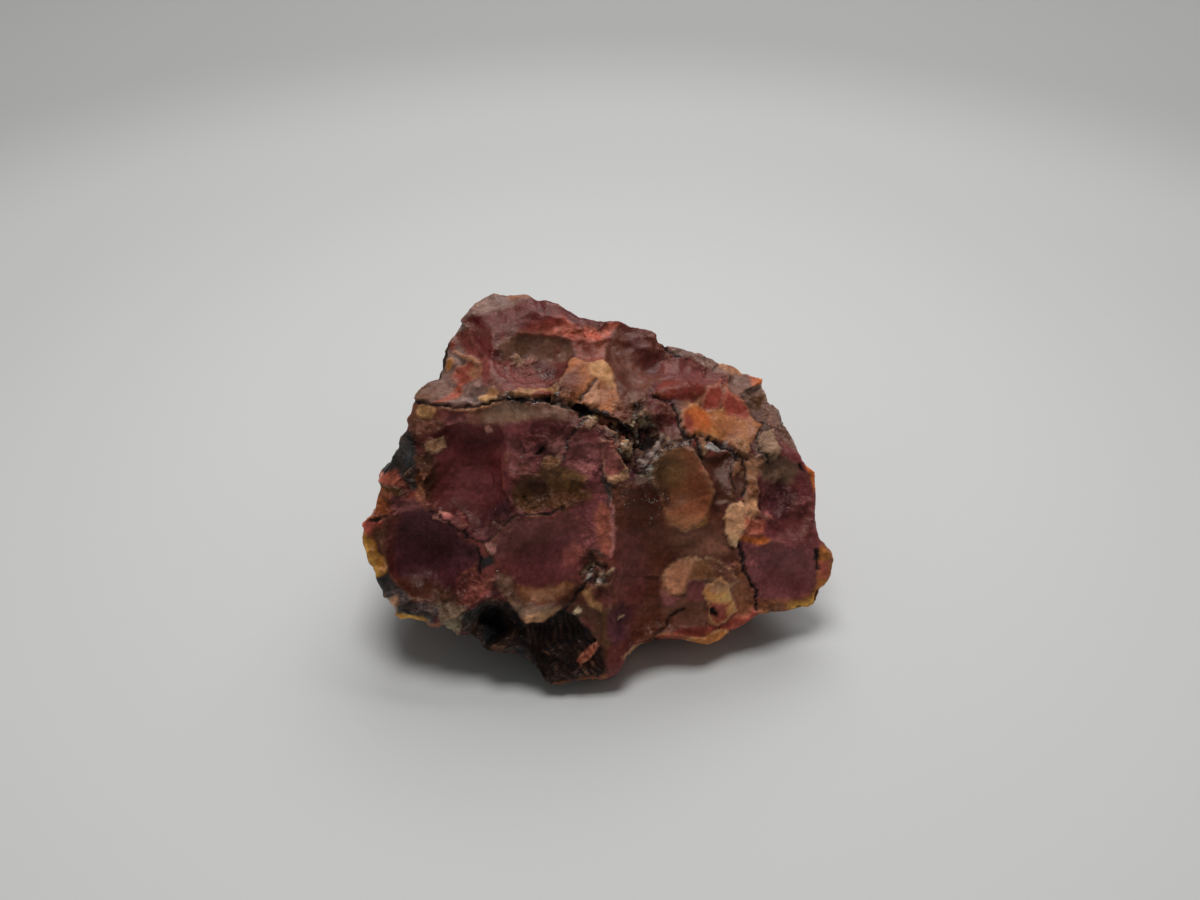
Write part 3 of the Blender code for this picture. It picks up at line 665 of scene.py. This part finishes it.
def crazed(points, cell, seed):
    """A random honeycomb: each point's distance to its cell's middle, how near the cell's border is, the
    way there from the middle, all in cells, and three numbers from -1 to 1 that the whole cell shares."""
    places = points / cell + 5.1 * seed
    near, gap, middles, shared = [], [], [], []
    for place in places.tolist():
        distances, found = noise.voronoi(place)
        near.append(distances[0])
        gap.append(distances[1] - distances[0])
        middles.append(found[0])
        shared.append(noise.cell_vector(found[0] * 37.1))
    return np.array(near), np.array(gap), places - np.array(middles), 2 * np.array(shared) - 1


def wandering(points, cell, reach, seed):
    """The points, each moved a little by slow noise."""
    return points + reach * np.stack([clouds(points, cell, seed + axis) for axis in range(3)], axis=1)


class Skin:
    """The stone's surface as arrays, one row per vertex, in mm."""

    def __init__(self, mesh):
        self.mesh = mesh
        count = len(mesh.vertices)
        ends = np.empty(2 * len(mesh.edges), int)
        mesh.edges.foreach_get("vertices", ends)
        self.starts, self.ends = ends[::2], ends[1::2]
        self.points = np.empty(3 * count)
        mesh.vertices.foreach_get("co", self.points)
        self.points = self.points.reshape(-1, 3) / MM
        self.turn_to_shape()

    def turn_to_shape(self):
        """Writes the points to the mesh and reads its normals back."""
        self.mesh.vertices.foreach_set("co", (self.points * MM).ravel())
        self.mesh.update()
        self.normals = np.empty(self.points.size)
        self.mesh.vertex_normals.foreach_get("vector", self.normals)
        self.normals = self.normals.reshape(-1, 3)

    def gather(self, at_starts, at_ends):
        """Adds up a value of each edge at both of its vertices."""
        count = len(self.points)
        return np.bincount(self.starts, at_starts, count) + np.bincount(self.ends, at_ends, count)

    def bulge(self, weight=1.0):
        """How far each vertex stands out of its neighbours, along its normal."""
        gap = self.points[self.starts] - self.points[self.ends]
        weight = np.broadcast_to(weight, len(gap))
        out_starts = np.sum(gap * self.normals[self.starts], axis=1) * weight
        out_ends = -np.sum(gap * self.normals[self.ends], axis=1) * weight
        return self.gather(out_starts, out_ends) / np.maximum(self.gather(weight, weight), 1e-9)

    def spread(self, value, passes):
        """The value averaged with its neighbours', so many times over."""
        ones = np.ones(len(self.starts))
        count = 1 + self.gather(ones, ones)
        for _ in range(passes):
            value = (value + self.gather(value[self.ends], value[self.starts])) / count
        return value

    def spread_rows(self, rows, passes):
        return np.stack([self.spread(part, passes) for part in rows.T], axis=1)

    def sunk(self, passes=60):
        """How deep each vertex lies under a much smoothed skin."""
        return np.sum((self.spread_rows(self.points, passes) - self.points) * self.spread_normals, axis=1)

    def soften(self, passes):
        """Rounds off the CAD solid's small facets and keeps its ridges."""
        for _ in range(passes):
            alike = np.sum(self.normals[self.starts] * self.normals[self.ends], axis=1)
            weight = np.exp((alike - 1) / FACET_TURN)
            self.points -= self.normals * (0.6 * self.bulge(weight))[:, None]
            self.turn_to_shape()

    def push(self, height):
        """Moves each vertex out along its normal, but never below the ground."""
        self.points += self.normals * height[:, None]
        self.points[:, 2] = np.maximum(self.points[:, 2], 0)
        self.turn_to_shape()


def make_skin(node):
    """The CAD solid as a mesh of even cells, fine enough for the relief."""
    skin = bpy.data.objects.new("petrified_wood_skin", node.data.copy())
    bpy.context.scene.collection.objects.link(skin)
    remesh = skin.modifiers.new("even cells", "REMESH")
    remesh.mode = "VOXEL"
    remesh.voxel_size = SKIN_CELL * MM
    mesh = bpy.data.meshes.new_from_object(skin.evaluated_get(bpy.context.evaluated_depsgraph_get()))
    skin.modifiers.clear()
    skin.data = mesh
    mesh.name = skin.name
    mesh.materials.clear()
    mesh.shade_smooth()
    return skin


# The camera's own directions.
AHEAD = np.array((0, cos(radians(LOOKS_DOWN)), -sin(radians(LOOKS_DOWN))))
UP = np.array((0, sin(radians(LOOKS_DOWN)), cos(radians(LOOKS_DOWN))))


def view_scale(points):
    """Pixels per mm at each point."""
    return VIEW_WIDTH * LENS / SENSOR / ((points - CAMERA_PLACE) @ AHEAD)


def in_view(points):
    """The pixel in which the camera sees each point."""
    away = points - CAMERA_PLACE
    scale = view_scale(points)
    return np.stack((VIEW_WIDTH / 2 + away[:, 0] * scale, VIEW_HEIGHT / 2 - away @ UP * scale), axis=1)


def edge_reach(angles):
    """How far from its middle the outline lies at each angle, in pixels."""
    corners = np.array(OUTLINE, float) - OUTLINE_MIDDLE
    reach = np.zeros(len(angles))
    ways = np.stack((np.cos(angles), np.sin(angles)), axis=1)
    for start, end in zip(corners, np.roll(corners, -1, axis=0)):
        side = end - start
        cross = ways[:, 0] * side[1] - ways[:, 1] * side[0]
        cross = np.where(np.abs(cross) < 1e-9, 1e-9, cross)
        out = (start[0] * side[1] - start[1] * side[0]) / cross
        along = (start[0] * ways[:, 1] - start[1] * ways[:, 0]) / cross
        reach = np.maximum(reach, np.where((along >= 0) & (along <= 1), out, 0))
    return reach


def fit_outline(skin, turns=480, most=14):
    """Shifts the skin across the camera's view, by so many pixels at most, until its edge follows OUTLINE."""
    pixels = in_view(skin.points)
    way = pixels - OUTLINE_MIDDLE
    reach = np.linalg.norm(way, axis=1)
    turn = np.arctan2(way[:, 1], way[:, 0]) % (2 * pi) * turns / (2 * pi)
    edge = np.zeros(turns)
    np.maximum.at(edge, turn.astype(int), reach)
    edge = np.maximum(edge, (np.roll(edge, 1) + np.roll(edge, -1)) / 2)
    spots = np.arange(turns) + 0.5
    shift = np.clip(edge_reach(spots * 2 * pi / turns) - edge, -most, most)
    shift = np.interp(turn, spots, shift, period=turns)
    near = smooth_step(0.72, 1.0, reach / np.interp(turn, spots, edge, period=turns))
    move = way / reach[:, None] * (shift * near / view_scale(skin.points))[:, None]
    skin.points += move[:, :1] * np.array((1, 0, 0)) - move[:, 1:] * UP
    # What would sink into the ground slides towards the camera instead, which still sees it where it was.
    low = np.minimum(skin.points[:, 2], 0)
    skin.points -= (low / AHEAD[2])[:, None] * AHEAD
    skin.turn_to_shape()


def distance_to_side(pixels, start, end):
    side, way = end - start, pixels - start
    along = np.clip(way @ side / (side @ side), 0, 1)
    return np.linalg.norm(way - along[:, None] * side, axis=1)


def depth_inside(pixels, outline):
    """How far inside the outline each pixel lies. Outside it is negative."""
    corners = np.array(outline, float)
    nearest = np.full(len(pixels), np.inf)
    inside = np.zeros(len(pixels), bool)
    for start, end in zip(corners, np.roll(corners, -1, axis=0)):
        nearest = np.minimum(nearest, distance_to_side(pixels, start, end))
        side, way = end - start, pixels - start
        if side[1]:
            crossed = (start[1] > pixels[:, 1]) != (end[1] > pixels[:, 1])
            inside ^= crossed & (way[:, 0] < way[:, 1] * side[0] / side[1])
    return np.where(inside, nearest, -nearest)


def depth_in_line(pixels, width, route):
    """How far inside a line of that width each pixel lies."""
    points = np.array(route, float)
    nearest = np.full(len(pixels), np.inf)
    for start, end in zip(points, points[1:]):
        nearest = np.minimum(nearest, distance_to_side(pixels, start, end))
    return width - nearest


def in_oval(pixels, middle, half, outer, inner):
    """0 outside an oval and 1 inside it, fading between those shares of its half width and height."""
    return smooth_step(outer, inner, np.linalg.norm((pixels - middle) / half, axis=1))


def camera_side(skin):
    """How surely each vertex belongs to the camera's side, from 0 to 1."""
    to_camera = CAMERA_PLACE - skin.points
    to_camera /= np.linalg.norm(to_camera, axis=1)[:, None]
    facing = np.sum(skin.spread_normals * to_camera, axis=1)
    seen = smooth_step(-0.35, -0.1, facing + 0.1 * clouds(skin.points, 6, 1))
    low_front = smooth_step(-19, -25, skin.points[:, 1]) * smooth_step(24, 16, skin.points[:, 2])
    return np.maximum(seen, low_front)


def wavering_pixels(skin):
    """The pixel of each vertex, moved a little, so that the marks' edges waver."""
    pixels = in_view(skin.points)
    for cell, reach, seed in ((5.0, 3.0, 2), (1.6, 1.6, 4)):
        pixels[:, 0] += reach * clouds(skin.points, cell, seed)
        pixels[:, 1] += reach * clouds(skin.points, cell, seed + 1)
    return pixels


def paint_marks(pixels, seen, tint):
    """Paints MARKS, and returns how far they push the skin out."""
    lift = np.zeros(len(pixels))
    for colour, soft, step, outline in MARKS.values():
        depth = depth_inside(pixels, outline)
        # Painted shadow: a dark band just outside a proud mark's edge.
        if step >= RIMMED_STEP:
            shade = smooth_step(-2.4, -0.8, depth) * smooth_step(0.6, -0.6, depth)
            paint(tint, "black", 0.28 * shade * seen)
        paint(tint, colour, smooth_step(-0.75 * soft, 0.75 * soft, depth) * seen)
        # Painted highlight: a pale band just inside a proud mark's edge.
        if step >= RIMMED_STEP:
            rim = smooth_step(0, 1, depth) * smooth_step(2.6, 1.2, depth)
            paint(tint, "cream", 0.38 * rim * seen)
        lift += step * smooth_step(-1.2, 1.0, depth) * seen
    return lift


def dish_faces(pixels, seen):
    """How far FACES push the skin out. Where two overlap, the deeper one counts."""
    dished = np.zeros(len(pixels))
    for dish, outline in FACES.values():
        depth = depth_inside(pixels, outline)
        share = np.clip(depth / depth.max(), 0, 1)
        hollow = -dish * share * (2 - share) * seen
        dished = np.where(np.abs(hollow) > np.abs(dished), hollow, dished)
    return dished


def crumble(skin, pixels, seen, tint):
    """Paints the bits of RUBBLE and the gaps between them, and returns how far they push the skin out."""
    rubble = np.zeros(len(pixels))
    for outline in RUBBLE.values():
        rubble = np.maximum(rubble, smooth_step(-2, 2, depth_inside(pixels, outline)) * seen)
    near, gap, _, shared = crazed(wandering(skin.points, 1.5, 0.3, 16), RUBBLE_CELL, 15)
    for colour, share, low, high in RUBBLE_COLOURS:
        paint(tint, colour, share * rubble * smooth_step(low, high, shared[:, 0]))
    # Painted shade: the gaps between the bits are darkened towards black.
    paint(tint, "black", 0.7 * rubble * smooth_step(0.22, 0.0, gap))
    return rubble * (0.5 * shared[:, 1] - 0.5 * near)


def cut_lines(pixels, seen, wear, tint):
    """Paints LINES, and returns how far they push the skin out."""
    lift = np.zeros(len(pixels))
    for colour, width, cut, route in LINES.values():
        depth = depth_in_line(pixels, width * wear, route)
        paint(tint, colour, smooth_step(-1.2, 0.6, depth) * seen)
        lift -= cut * smooth_step(-1.2, 1.0, depth) * seen
    return lift


def calm_faces(pixels, seen):
    calm = np.zeros(len(pixels))
    for middle, half in CALM.values():
        calm = np.maximum(calm, in_oval(pixels, middle, half, 1.25, 0.75) * seen)
    return calm


def grain_share(pixels, seen, wear):
    """How thick the white grains are at each vertex."""
    grains = np.zeros(len(pixels))
    for share, middle, half in GRAINS.values():
        grains = np.maximum(grains, share * in_oval(pixels, middle, half, 1.3, 0.5) * seen)
    for share, width, route in CRUSTS.values():
        depth = depth_in_line(pixels, width * wear, route)
        grains = np.maximum(grains, share * smooth_step(-width, width, depth) * seen)
    return grains


def bare_fibres(skin, pixels, seen, tint):
    """Paints the fibres in the black hollow, and returns how far they push the skin out."""
    turn = np.linalg.norm(pixels - FIBRE_MIDDLE, axis=1) / FIBRE_SPACING * 2 * pi
    outline = MARKS["hollow"][-1]
    fibres = np.sin(turn) * smooth_step(-2, 5, depth_inside(pixels, outline)) * seen
    raised = fibres * (1 + 0.5 * clouds(skin.points, 2.5, 14))
    paint(tint, "umber", 0.2 * smooth_step(0.3, 1.0, raised))
    return FIBRE_DEPTH * fibres


def mark_front(skin, tint, seen):
    """Paints the camera's side. Returns how far its marks push the skin out, the white grains' share and
    which faces are calm."""
    pixels = wavering_pixels(skin)
    wear = 1 + 0.5 * clouds(skin.points, 1.4, 12)
    lift = paint_marks(pixels, seen, tint)
    lift += dish_faces(pixels, seen)
    lift += crumble(skin, pixels, seen, tint)
    lift += cut_lines(pixels, seen, wear, tint)
    lift += bare_fibres(skin, pixels, seen, tint)
    return lift, grain_share(pixels, seen, wear), calm_faces(pixels, seen)


def mark_back(skin, tint, chance):
    """Paints flake scars at random all over, and returns how far they push the skin out."""
    names = list(BACK_COLOURS)
    odds = np.array(list(BACK_COLOURS.values()), float)
    warped = wandering(skin.points, 4, 1.2, 20)
    lift = np.zeros(len(skin.points))
    for colour in chance.choice(names, BACK_MARKS, p=odds / odds.sum()):
        middle = chance.integers(len(skin.points))
        normal = skin.spread_normals[middle]
        across = np.cross(normal, chance.normal(size=3))
        across /= np.linalg.norm(across)
        up = np.cross(normal, across)
        half = chance.uniform(2.5, 9) * np.array((1, chance.uniform(0.5, 0.9)))
        soft = chance.choice((0.3, 0.3, 1.5))
        step = chance.choice((-0.3, 0.0, 0.3)) if soft < 1 else 0
        way = warped - warped[middle]
        off = np.linalg.norm(np.stack((way @ across, way @ up), axis=1) / half, axis=1)
        depth = (1 - off) * half.min()
        near = smooth_step(0.9 * half.max(), 0.6 * half.max(), np.abs(way @ normal))
        paint(tint, colour, 0.85 * smooth_step(-soft, soft, depth) * near)
        lift += step * smooth_step(-0.3, 0.3, depth) * near
    return lift


def strike(skin, middles, reaches, depths):
    """How far bites at the middles push the skin out, as hollows that meet in sharp ridges."""
    lift = np.zeros(len(skin.points))
    for middle, reach, depth in zip(middles, reaches, depths):
        close = np.nonzero(np.abs(skin.points - skin.points[middle]).max(axis=1) < reach)[0]
        off = np.linalg.norm(skin.points[close] - skin.points[middle], axis=1) / reach
        lift[close] = np.minimum(lift[close], depth * np.minimum(off * off - 1, 0))
    return lift


def chip_ridges(skin, chance):
    """Small bites out of the sharp ridges."""
    sharp = np.maximum(skin.spread(skin.bulge(), 2), 0) ** 1.5
    middles = chance.choice(len(skin.points), RIDGE_CHIPS, p=sharp / sharp.sum())
    reaches = chance.uniform(0.9, 3.2, RIDGE_CHIPS)
    return strike(skin, middles, reaches, reaches * chance.uniform(0.12, 0.24, RIDGE_CHIPS))


def dish_back(skin, chance):
    """Wide shallow bites all over."""
    middles = chance.integers(len(skin.points), size=BACK_DISHES)
    reaches = chance.uniform(4, 11, BACK_DISHES)
    return strike(skin, middles, reaches, reaches * chance.uniform(0.07, 0.13, BACK_DISHES))


def flake_all_over(skin, tint, rough):
    """Paints random flakes, mostly where the skin is rough, and returns how far they push it out."""
    lift = np.zeros(len(skin.points))
    for cell, reach, seed, spare in FLAKES:
        places = wandering(skin.points, cell * 0.6, spare, 50 + 3 * seed)
        near, gap, way, shared = crazed(places, cell, seed)
        tilt = np.sum(way * shared, axis=1)
        lift += reach * (0.12 + 0.88 * rough) * (near * near - 0.3 + 0.9 * tilt)
        tint *= 1 + 0.2 * (0.25 + rough)[:, None] * shared[:, :1]
        paint(tint, "tan", 0.10 * rough * smooth_step(0.3, 0.9, shared[:, 1]))
        in_gap = smooth_step(0.07, 0.0, gap) * smooth_step(0, 0.3, clouds(skin.points, 6, 70 + seed))
        paint(tint, "umber", 0.35 * rough * in_gap)
    return lift + 0.05 * clouds(skin.points, 1.3, 42) * (0.3 + rough)


def paint_wear_light_and_shade(skin, tint):
    """Makes ridges paler, both as wear and as a painted highlight, darkens hollows and deep places
    with painted shade, and mottles the whole.
    """
    bulge = skin.spread(skin.bulge(), 1)
    raised = smooth_step(0.02, 0.08, bulge) * smooth_step(-0.3, 0.4, clouds(skin.points, 5, 60))
    paint(tint, "tan", 0.4 * raised)
    # Painted shade: hollows darker, and the deepest places black.
    paint(tint, "black", 0.45 * smooth_step(0.02, 0.09, -bulge))
    paint(tint, "black", smooth_step(0.7, 1.5, skin.sunk()))
    for cell, reach, seed in MOTTLES:
        tint *= 1 + reach * clouds(skin.points, cell, seed)[:, None]


def shape_skin(skin, chance):
    """Adds the relief that the CAD solid leaves out, and returns the colours and masks."""
    skin.soften(SOFTEN_PASSES)
    fit_outline(skin)
    skin.spread_normals = skin.spread_rows(skin.normals, 6)
    tint = np.tile(linear("maroon"), (len(skin.points), 1))
    for colour, cell, seed, low, high in GROUND:
        paint(tint, colour, smooth_step(low, high, clouds(skin.points, cell, seed)))
    # The back's flakes also show in front, wherever its own marks leave the skin bare.
    back_lift = mark_back(skin, tint, chance)
    seen = camera_side(skin)
    front_lift, grains, calm = mark_front(skin, tint, seen)
    lift = front_lift + (back_lift + dish_back(skin, chance)) * (1 - seen)

    # Painted light and shade on the camera's side: upright faces lighter, upward faces darker.
    top = smooth_step(0.25, 0.9, skin.spread_normals[:, 2:])
    painted_light_gain = FRONT_PAINTED_LIGHT_GAIN - top * (FRONT_PAINTED_LIGHT_GAIN - TOP_PAINTED_SHADE_GAIN)
    tint *= 1 + seen[:, None] * (painted_light_gain - 1)
    paint(tint, "black", 0.45 * grains)
    rough = smooth_step(-0.35, 0.25, clouds(skin.points, 16, 41)) * (1 - 0.85 * calm)
    rough = np.maximum(rough, 0.9 * grains)
    lift += flake_all_over(skin, tint, rough)
    skin.push(lift)
    skin.push(chip_ridges(skin, chance))
    fit_outline(skin)
    paint_wear_light_and_shade(skin, tint)
    return np.clip(tint - 0.005, 0.002, 1), grains, rough


def store(mesh, name, values):
    """Keeps a number or a colour of each vertex, for the material."""
    kind, field = ("FLOAT_COLOR", "color") if values.ndim == 2 else ("FLOAT", "value")
    if values.ndim == 2:
        values = np.column_stack((values, np.ones(len(values))))
    mesh.attributes.new(name, kind, "POINT").data.foreach_set(field, values.astype(np.float32).ravel())


class Nodes:
    """Short calls for building a material's node tree."""

    def __init__(self, material):
        material.use_nodes = True
        self.tree = material.node_tree
        self.shader = self.tree.nodes["Principled BSDF"]

    def add(self, kind, inputs=(), **settings):
        node = self.tree.nodes.new(kind)
        for name, value in settings.items():
            setattr(node, name, value)
        for name, value in dict(inputs).items():
            self.set(node.inputs[name], value)
        return node

    def set(self, socket, value):
        if isinstance(value, bpy.types.NodeSocket):
            self.tree.links.new(value, socket)
        else:
            socket.default_value = value

    def attribute(self, name, output="Fac"):
        return self.add("ShaderNodeAttribute", attribute_name=name).outputs[output]

    def place(self):
        return self.add("ShaderNodeTexCoord").outputs["Object"]

    def noise(self, cell, detail=3.0, rough=0.5):
        """Noise with lumps about a cell across, in mm."""
        inputs = {"Vector": self.place(), "Scale": 1 / (cell * MM), "Detail": detail, "Roughness": rough}
        return self.add("ShaderNodeTexNoise", inputs).outputs["Fac"]

    def flakes(self, cell):
        """Height, in cells, of flakes about a cell across: each is tilted its own way, with a sharp edge."""
        where = self.place()
        waver = self.add("ShaderNodeTexNoise", {"Vector": where, "Scale": 1.2 / (cell * MM), "Detail": 2.0})
        shift = self.vector("SUBTRACT", waver.outputs["Color"], (0.5, 0.5, 0.5))
        shift = self.vector("SCALE", shift, scale=0.8)
        spot = self.vector("ADD", self.vector("SCALE", where, scale=1 / (cell * MM)), shift)
        cells = self.add("ShaderNodeTexVoronoi", {"Vector": spot, "Scale": 1.0})
        way = self.vector("SUBTRACT", spot, cells.outputs["Position"])
        lean = self.vector("SUBTRACT", cells.outputs["Color"], (0.5, 0.5, 0.5))
        tilt = self.vector("DOT_PRODUCT", way, lean)
        near = cells.outputs["Distance"]
        return self.math("ADD", self.math("MULTIPLY", near, near), tilt)

    def vector(self, operation, first, second=None, scale=None):
        node = self.add("ShaderNodeVectorMath", {0: first}, operation=operation)
        if second is not None:
            self.set(node.inputs[1], second)
        if scale is not None:
            self.set(node.inputs["Scale"], scale)
        return node.outputs["Value" if operation in ("DOT_PRODUCT", "LENGTH") else "Vector"]

    def math(self, operation, *values):
        return self.add("ShaderNodeMath", dict(enumerate(values)), operation=operation).outputs[0]

    def ramp(self, value, low, high, out_low=0.0, out_high=1.0):
        inputs = {"Value": value, "From Min": low, "From Max": high, "To Min": out_low, "To Max": out_high}
        return self.add("ShaderNodeMapRange", inputs, interpolation_type="SMOOTHSTEP").outputs["Result"]

    def colour(self, red, green, blue):
        inputs = {"Red": red, "Green": green, "Blue": blue}
        return self.add("ShaderNodeCombineColor", inputs).outputs[0]

    def mix(self, share, first, second, blend_type="MIX"):
        node = self.add("ShaderNodeMix", data_type="RGBA", blend_type=blend_type)
        self.set(node.inputs[0], share)
        self.set(node.inputs[6], first)
        self.set(node.inputs[7], second)
        return node.outputs[2]


def stone_material():
    stone = bpy.data.materials.new("petrified_wood_stone")
    n = Nodes(stone)
    tint = n.attribute("tint", "Color")
    grains = n.attribute("grains")
    rough = n.attribute("rough")
    mottle = n.ramp(n.noise(0.9, 5, 0.65), 0.25, 0.75, 0.72, 1.3)
    tint = n.mix(1.0, tint, n.colour(mottle, mottle, mottle), "MULTIPLY")

    # White grains: specks, wherever a fine and a coarse noise both run high.
    speck = n.math("MULTIPLY", n.noise(0.36, 3, 0.6), n.ramp(n.noise(1.7, 3), 0.36, 0.62, 0.6, 1.15))
    reach = n.ramp(grains, 0.0, 1.0, 0.78, 0.5)
    white = n.ramp(n.math("SUBTRACT", speck, reach), 0.0, 0.05)
    sugar = n.mix(n.ramp(n.noise(0.6, 2), 0.35, 0.65), (0.2, 0.15, 0.13, 1), (0.55, 0.5, 0.46, 1))
    tint = n.mix(n.math("MULTIPLY", white, 0.85), tint, sugar)
    n.set(n.shader.inputs["Base Color"], tint)

    gloss = n.ramp(n.noise(1.4, 4), 0.3, 0.7, 0.28, 0.5)
    gloss = n.math("ADD", gloss, n.math("MULTIPLY", rough, 0.08))
    gloss = n.math("ADD", gloss, n.math("MULTIPLY", white, 0.3))
    # The black, coaly parts are dull.
    light = n.add("ShaderNodeRGBToBW", {"Color": tint}).outputs[0]
    gloss = n.math("ADD", gloss, n.ramp(light, 0.004, 0.02, 0.35, 0.0))
    n.set(n.shader.inputs["Roughness"], gloss)

    height = n.math("ADD", n.math("MULTIPLY", n.noise(0.7, 4, 0.6), 0.10), n.math("MULTIPLY", white, 0.05))
    for cell, reach in ((2.6, 0.75), (1.2, 0.34)):
        flake = n.math("MULTIPLY", n.flakes(cell), reach)
        height = n.math("ADD", height, n.math("MULTIPLY", flake, n.ramp(rough, 0, 1, 0.12, 1)))
    bump = n.add("ShaderNodeBump", {"Height": height, "Distance": MM, "Strength": 0.8})
    n.set(n.shader.inputs["Normal"], bump.outputs[0])

    n.shader.inputs["IOR"].default_value = 1.5
    n.shader.inputs["Specular IOR Level"].default_value = 0.22
    n.shader.inputs["Specular Tint"].default_value = (1.0, 0.7, 0.6, 1)
    n.shader.inputs["Subsurface Weight"].default_value = 0.06
    n.shader.inputs["Subsurface Radius"].default_value = (1.0, 0.4, 0.25)
    n.shader.inputs["Subsurface Scale"].default_value = 0.0012
    return stone


def floor_material():
    """Pale grey, with painted shade that makes it darker around the stone and far away."""
    material = bpy.data.materials.new("floor")
    n = Nodes(material)
    away = n.vector("LENGTH", n.place())
    shade = n.math("MULTIPLY", n.ramp(away, 0.08, 0.26, 0.6, 0.5), n.ramp(away, 0.25, 0.4, 1.0, 0.74))
    n.set(n.shader.inputs["Base Color"], n.colour(shade, shade, n.math("MULTIPLY", shade, 0.985)))
    n.shader.inputs["Roughness"].default_value = 0.75
    return material


def make_floor():
    """A round floor that sweeps up into a wall all round. In m, as the lamps are."""
    flat, sweep, wall, around = 1.5, 0.4, 1.0, 96
    profile = [(0.001, 0.0), (flat, 0.0)]
    for i in range(1, 13):
        turn = radians(90 * i / 12)
        profile.append((flat + sweep * sin(turn), sweep * (1 - cos(turn))))
    profile.append((flat + sweep, wall))
    turns = [2 * pi * i / around for i in range(around)]
    verts = [(reach * cos(turn), reach * sin(turn), z) for reach, z in profile for turn in turns]
    faces = [list(range(around))[::-1]]
    for ring in range(len(profile) - 1):
        for i in range(around):
            near, after = ring * around + i, ring * around + (i + 1) % around
            faces.append((near, near + around, after + around, after))
    mesh = bpy.data.meshes.new("floor")
    mesh.from_pydata(verts, [], faces)
    mesh.shade_smooth()
    mesh.materials.append(floor_material())
    floor = bpy.data.objects.new("floor", mesh)
    bpy.context.scene.collection.objects.link(floor)


def add_lamp(name, place, size, power):
    lamp = bpy.data.lights.new(name, "AREA")
    lamp.shape = "RECTANGLE"
    lamp.size, lamp.size_y = size
    lamp.energy = power
    light = bpy.data.objects.new(name, lamp)
    light.location = place
    light.rotation_euler = (Vector(LAMP_AIM) - Vector(place)).to_track_quat("-Z", "Y").to_euler()
    bpy.context.scene.collection.objects.link(light)


def add_camera():
    lens = bpy.data.cameras.new("camera")
    lens.lens, lens.sensor_width = LENS, SENSOR
    camera = bpy.data.objects.new("camera", lens)
    camera.location = Vector(CAMERA_PLACE) * MM
    camera.rotation_euler = (radians(90 - LOOKS_DOWN), 0, 0)
    bpy.context.scene.collection.objects.link(camera)
    bpy.context.scene.camera = camera


def add_sky(strength):
    world = bpy.data.worlds.new("studio")
    world.use_nodes = True
    sky = world.node_tree.nodes["Background"]
    sky.inputs["Color"].default_value = (1, 1, 1, 1)
    sky.inputs["Strength"].default_value = strength
    bpy.context.scene.world = world


def make_studio():
    add_camera()
    make_floor()
    for name, (place, size, power) in LAMPS.items():
        add_lamp(name, place, size, power)
    add_sky(SKY_STRENGTH)
    bpy.context.scene.view_settings.view_transform = "Standard"


def make_stone():
    piece = make_skin(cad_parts["petrified_wood"])
    tint, grains, rough = shape_skin(Skin(piece.data), np.random.default_rng(11))
    store(piece.data, "tint", tint)
    store(piece.data, "grains", grains)
    store(piece.data, "rough", rough)
    piece.data.materials.append(stone_material())
    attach(piece, "root")
    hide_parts("petrified_wood")


make_studio()
make_stone()
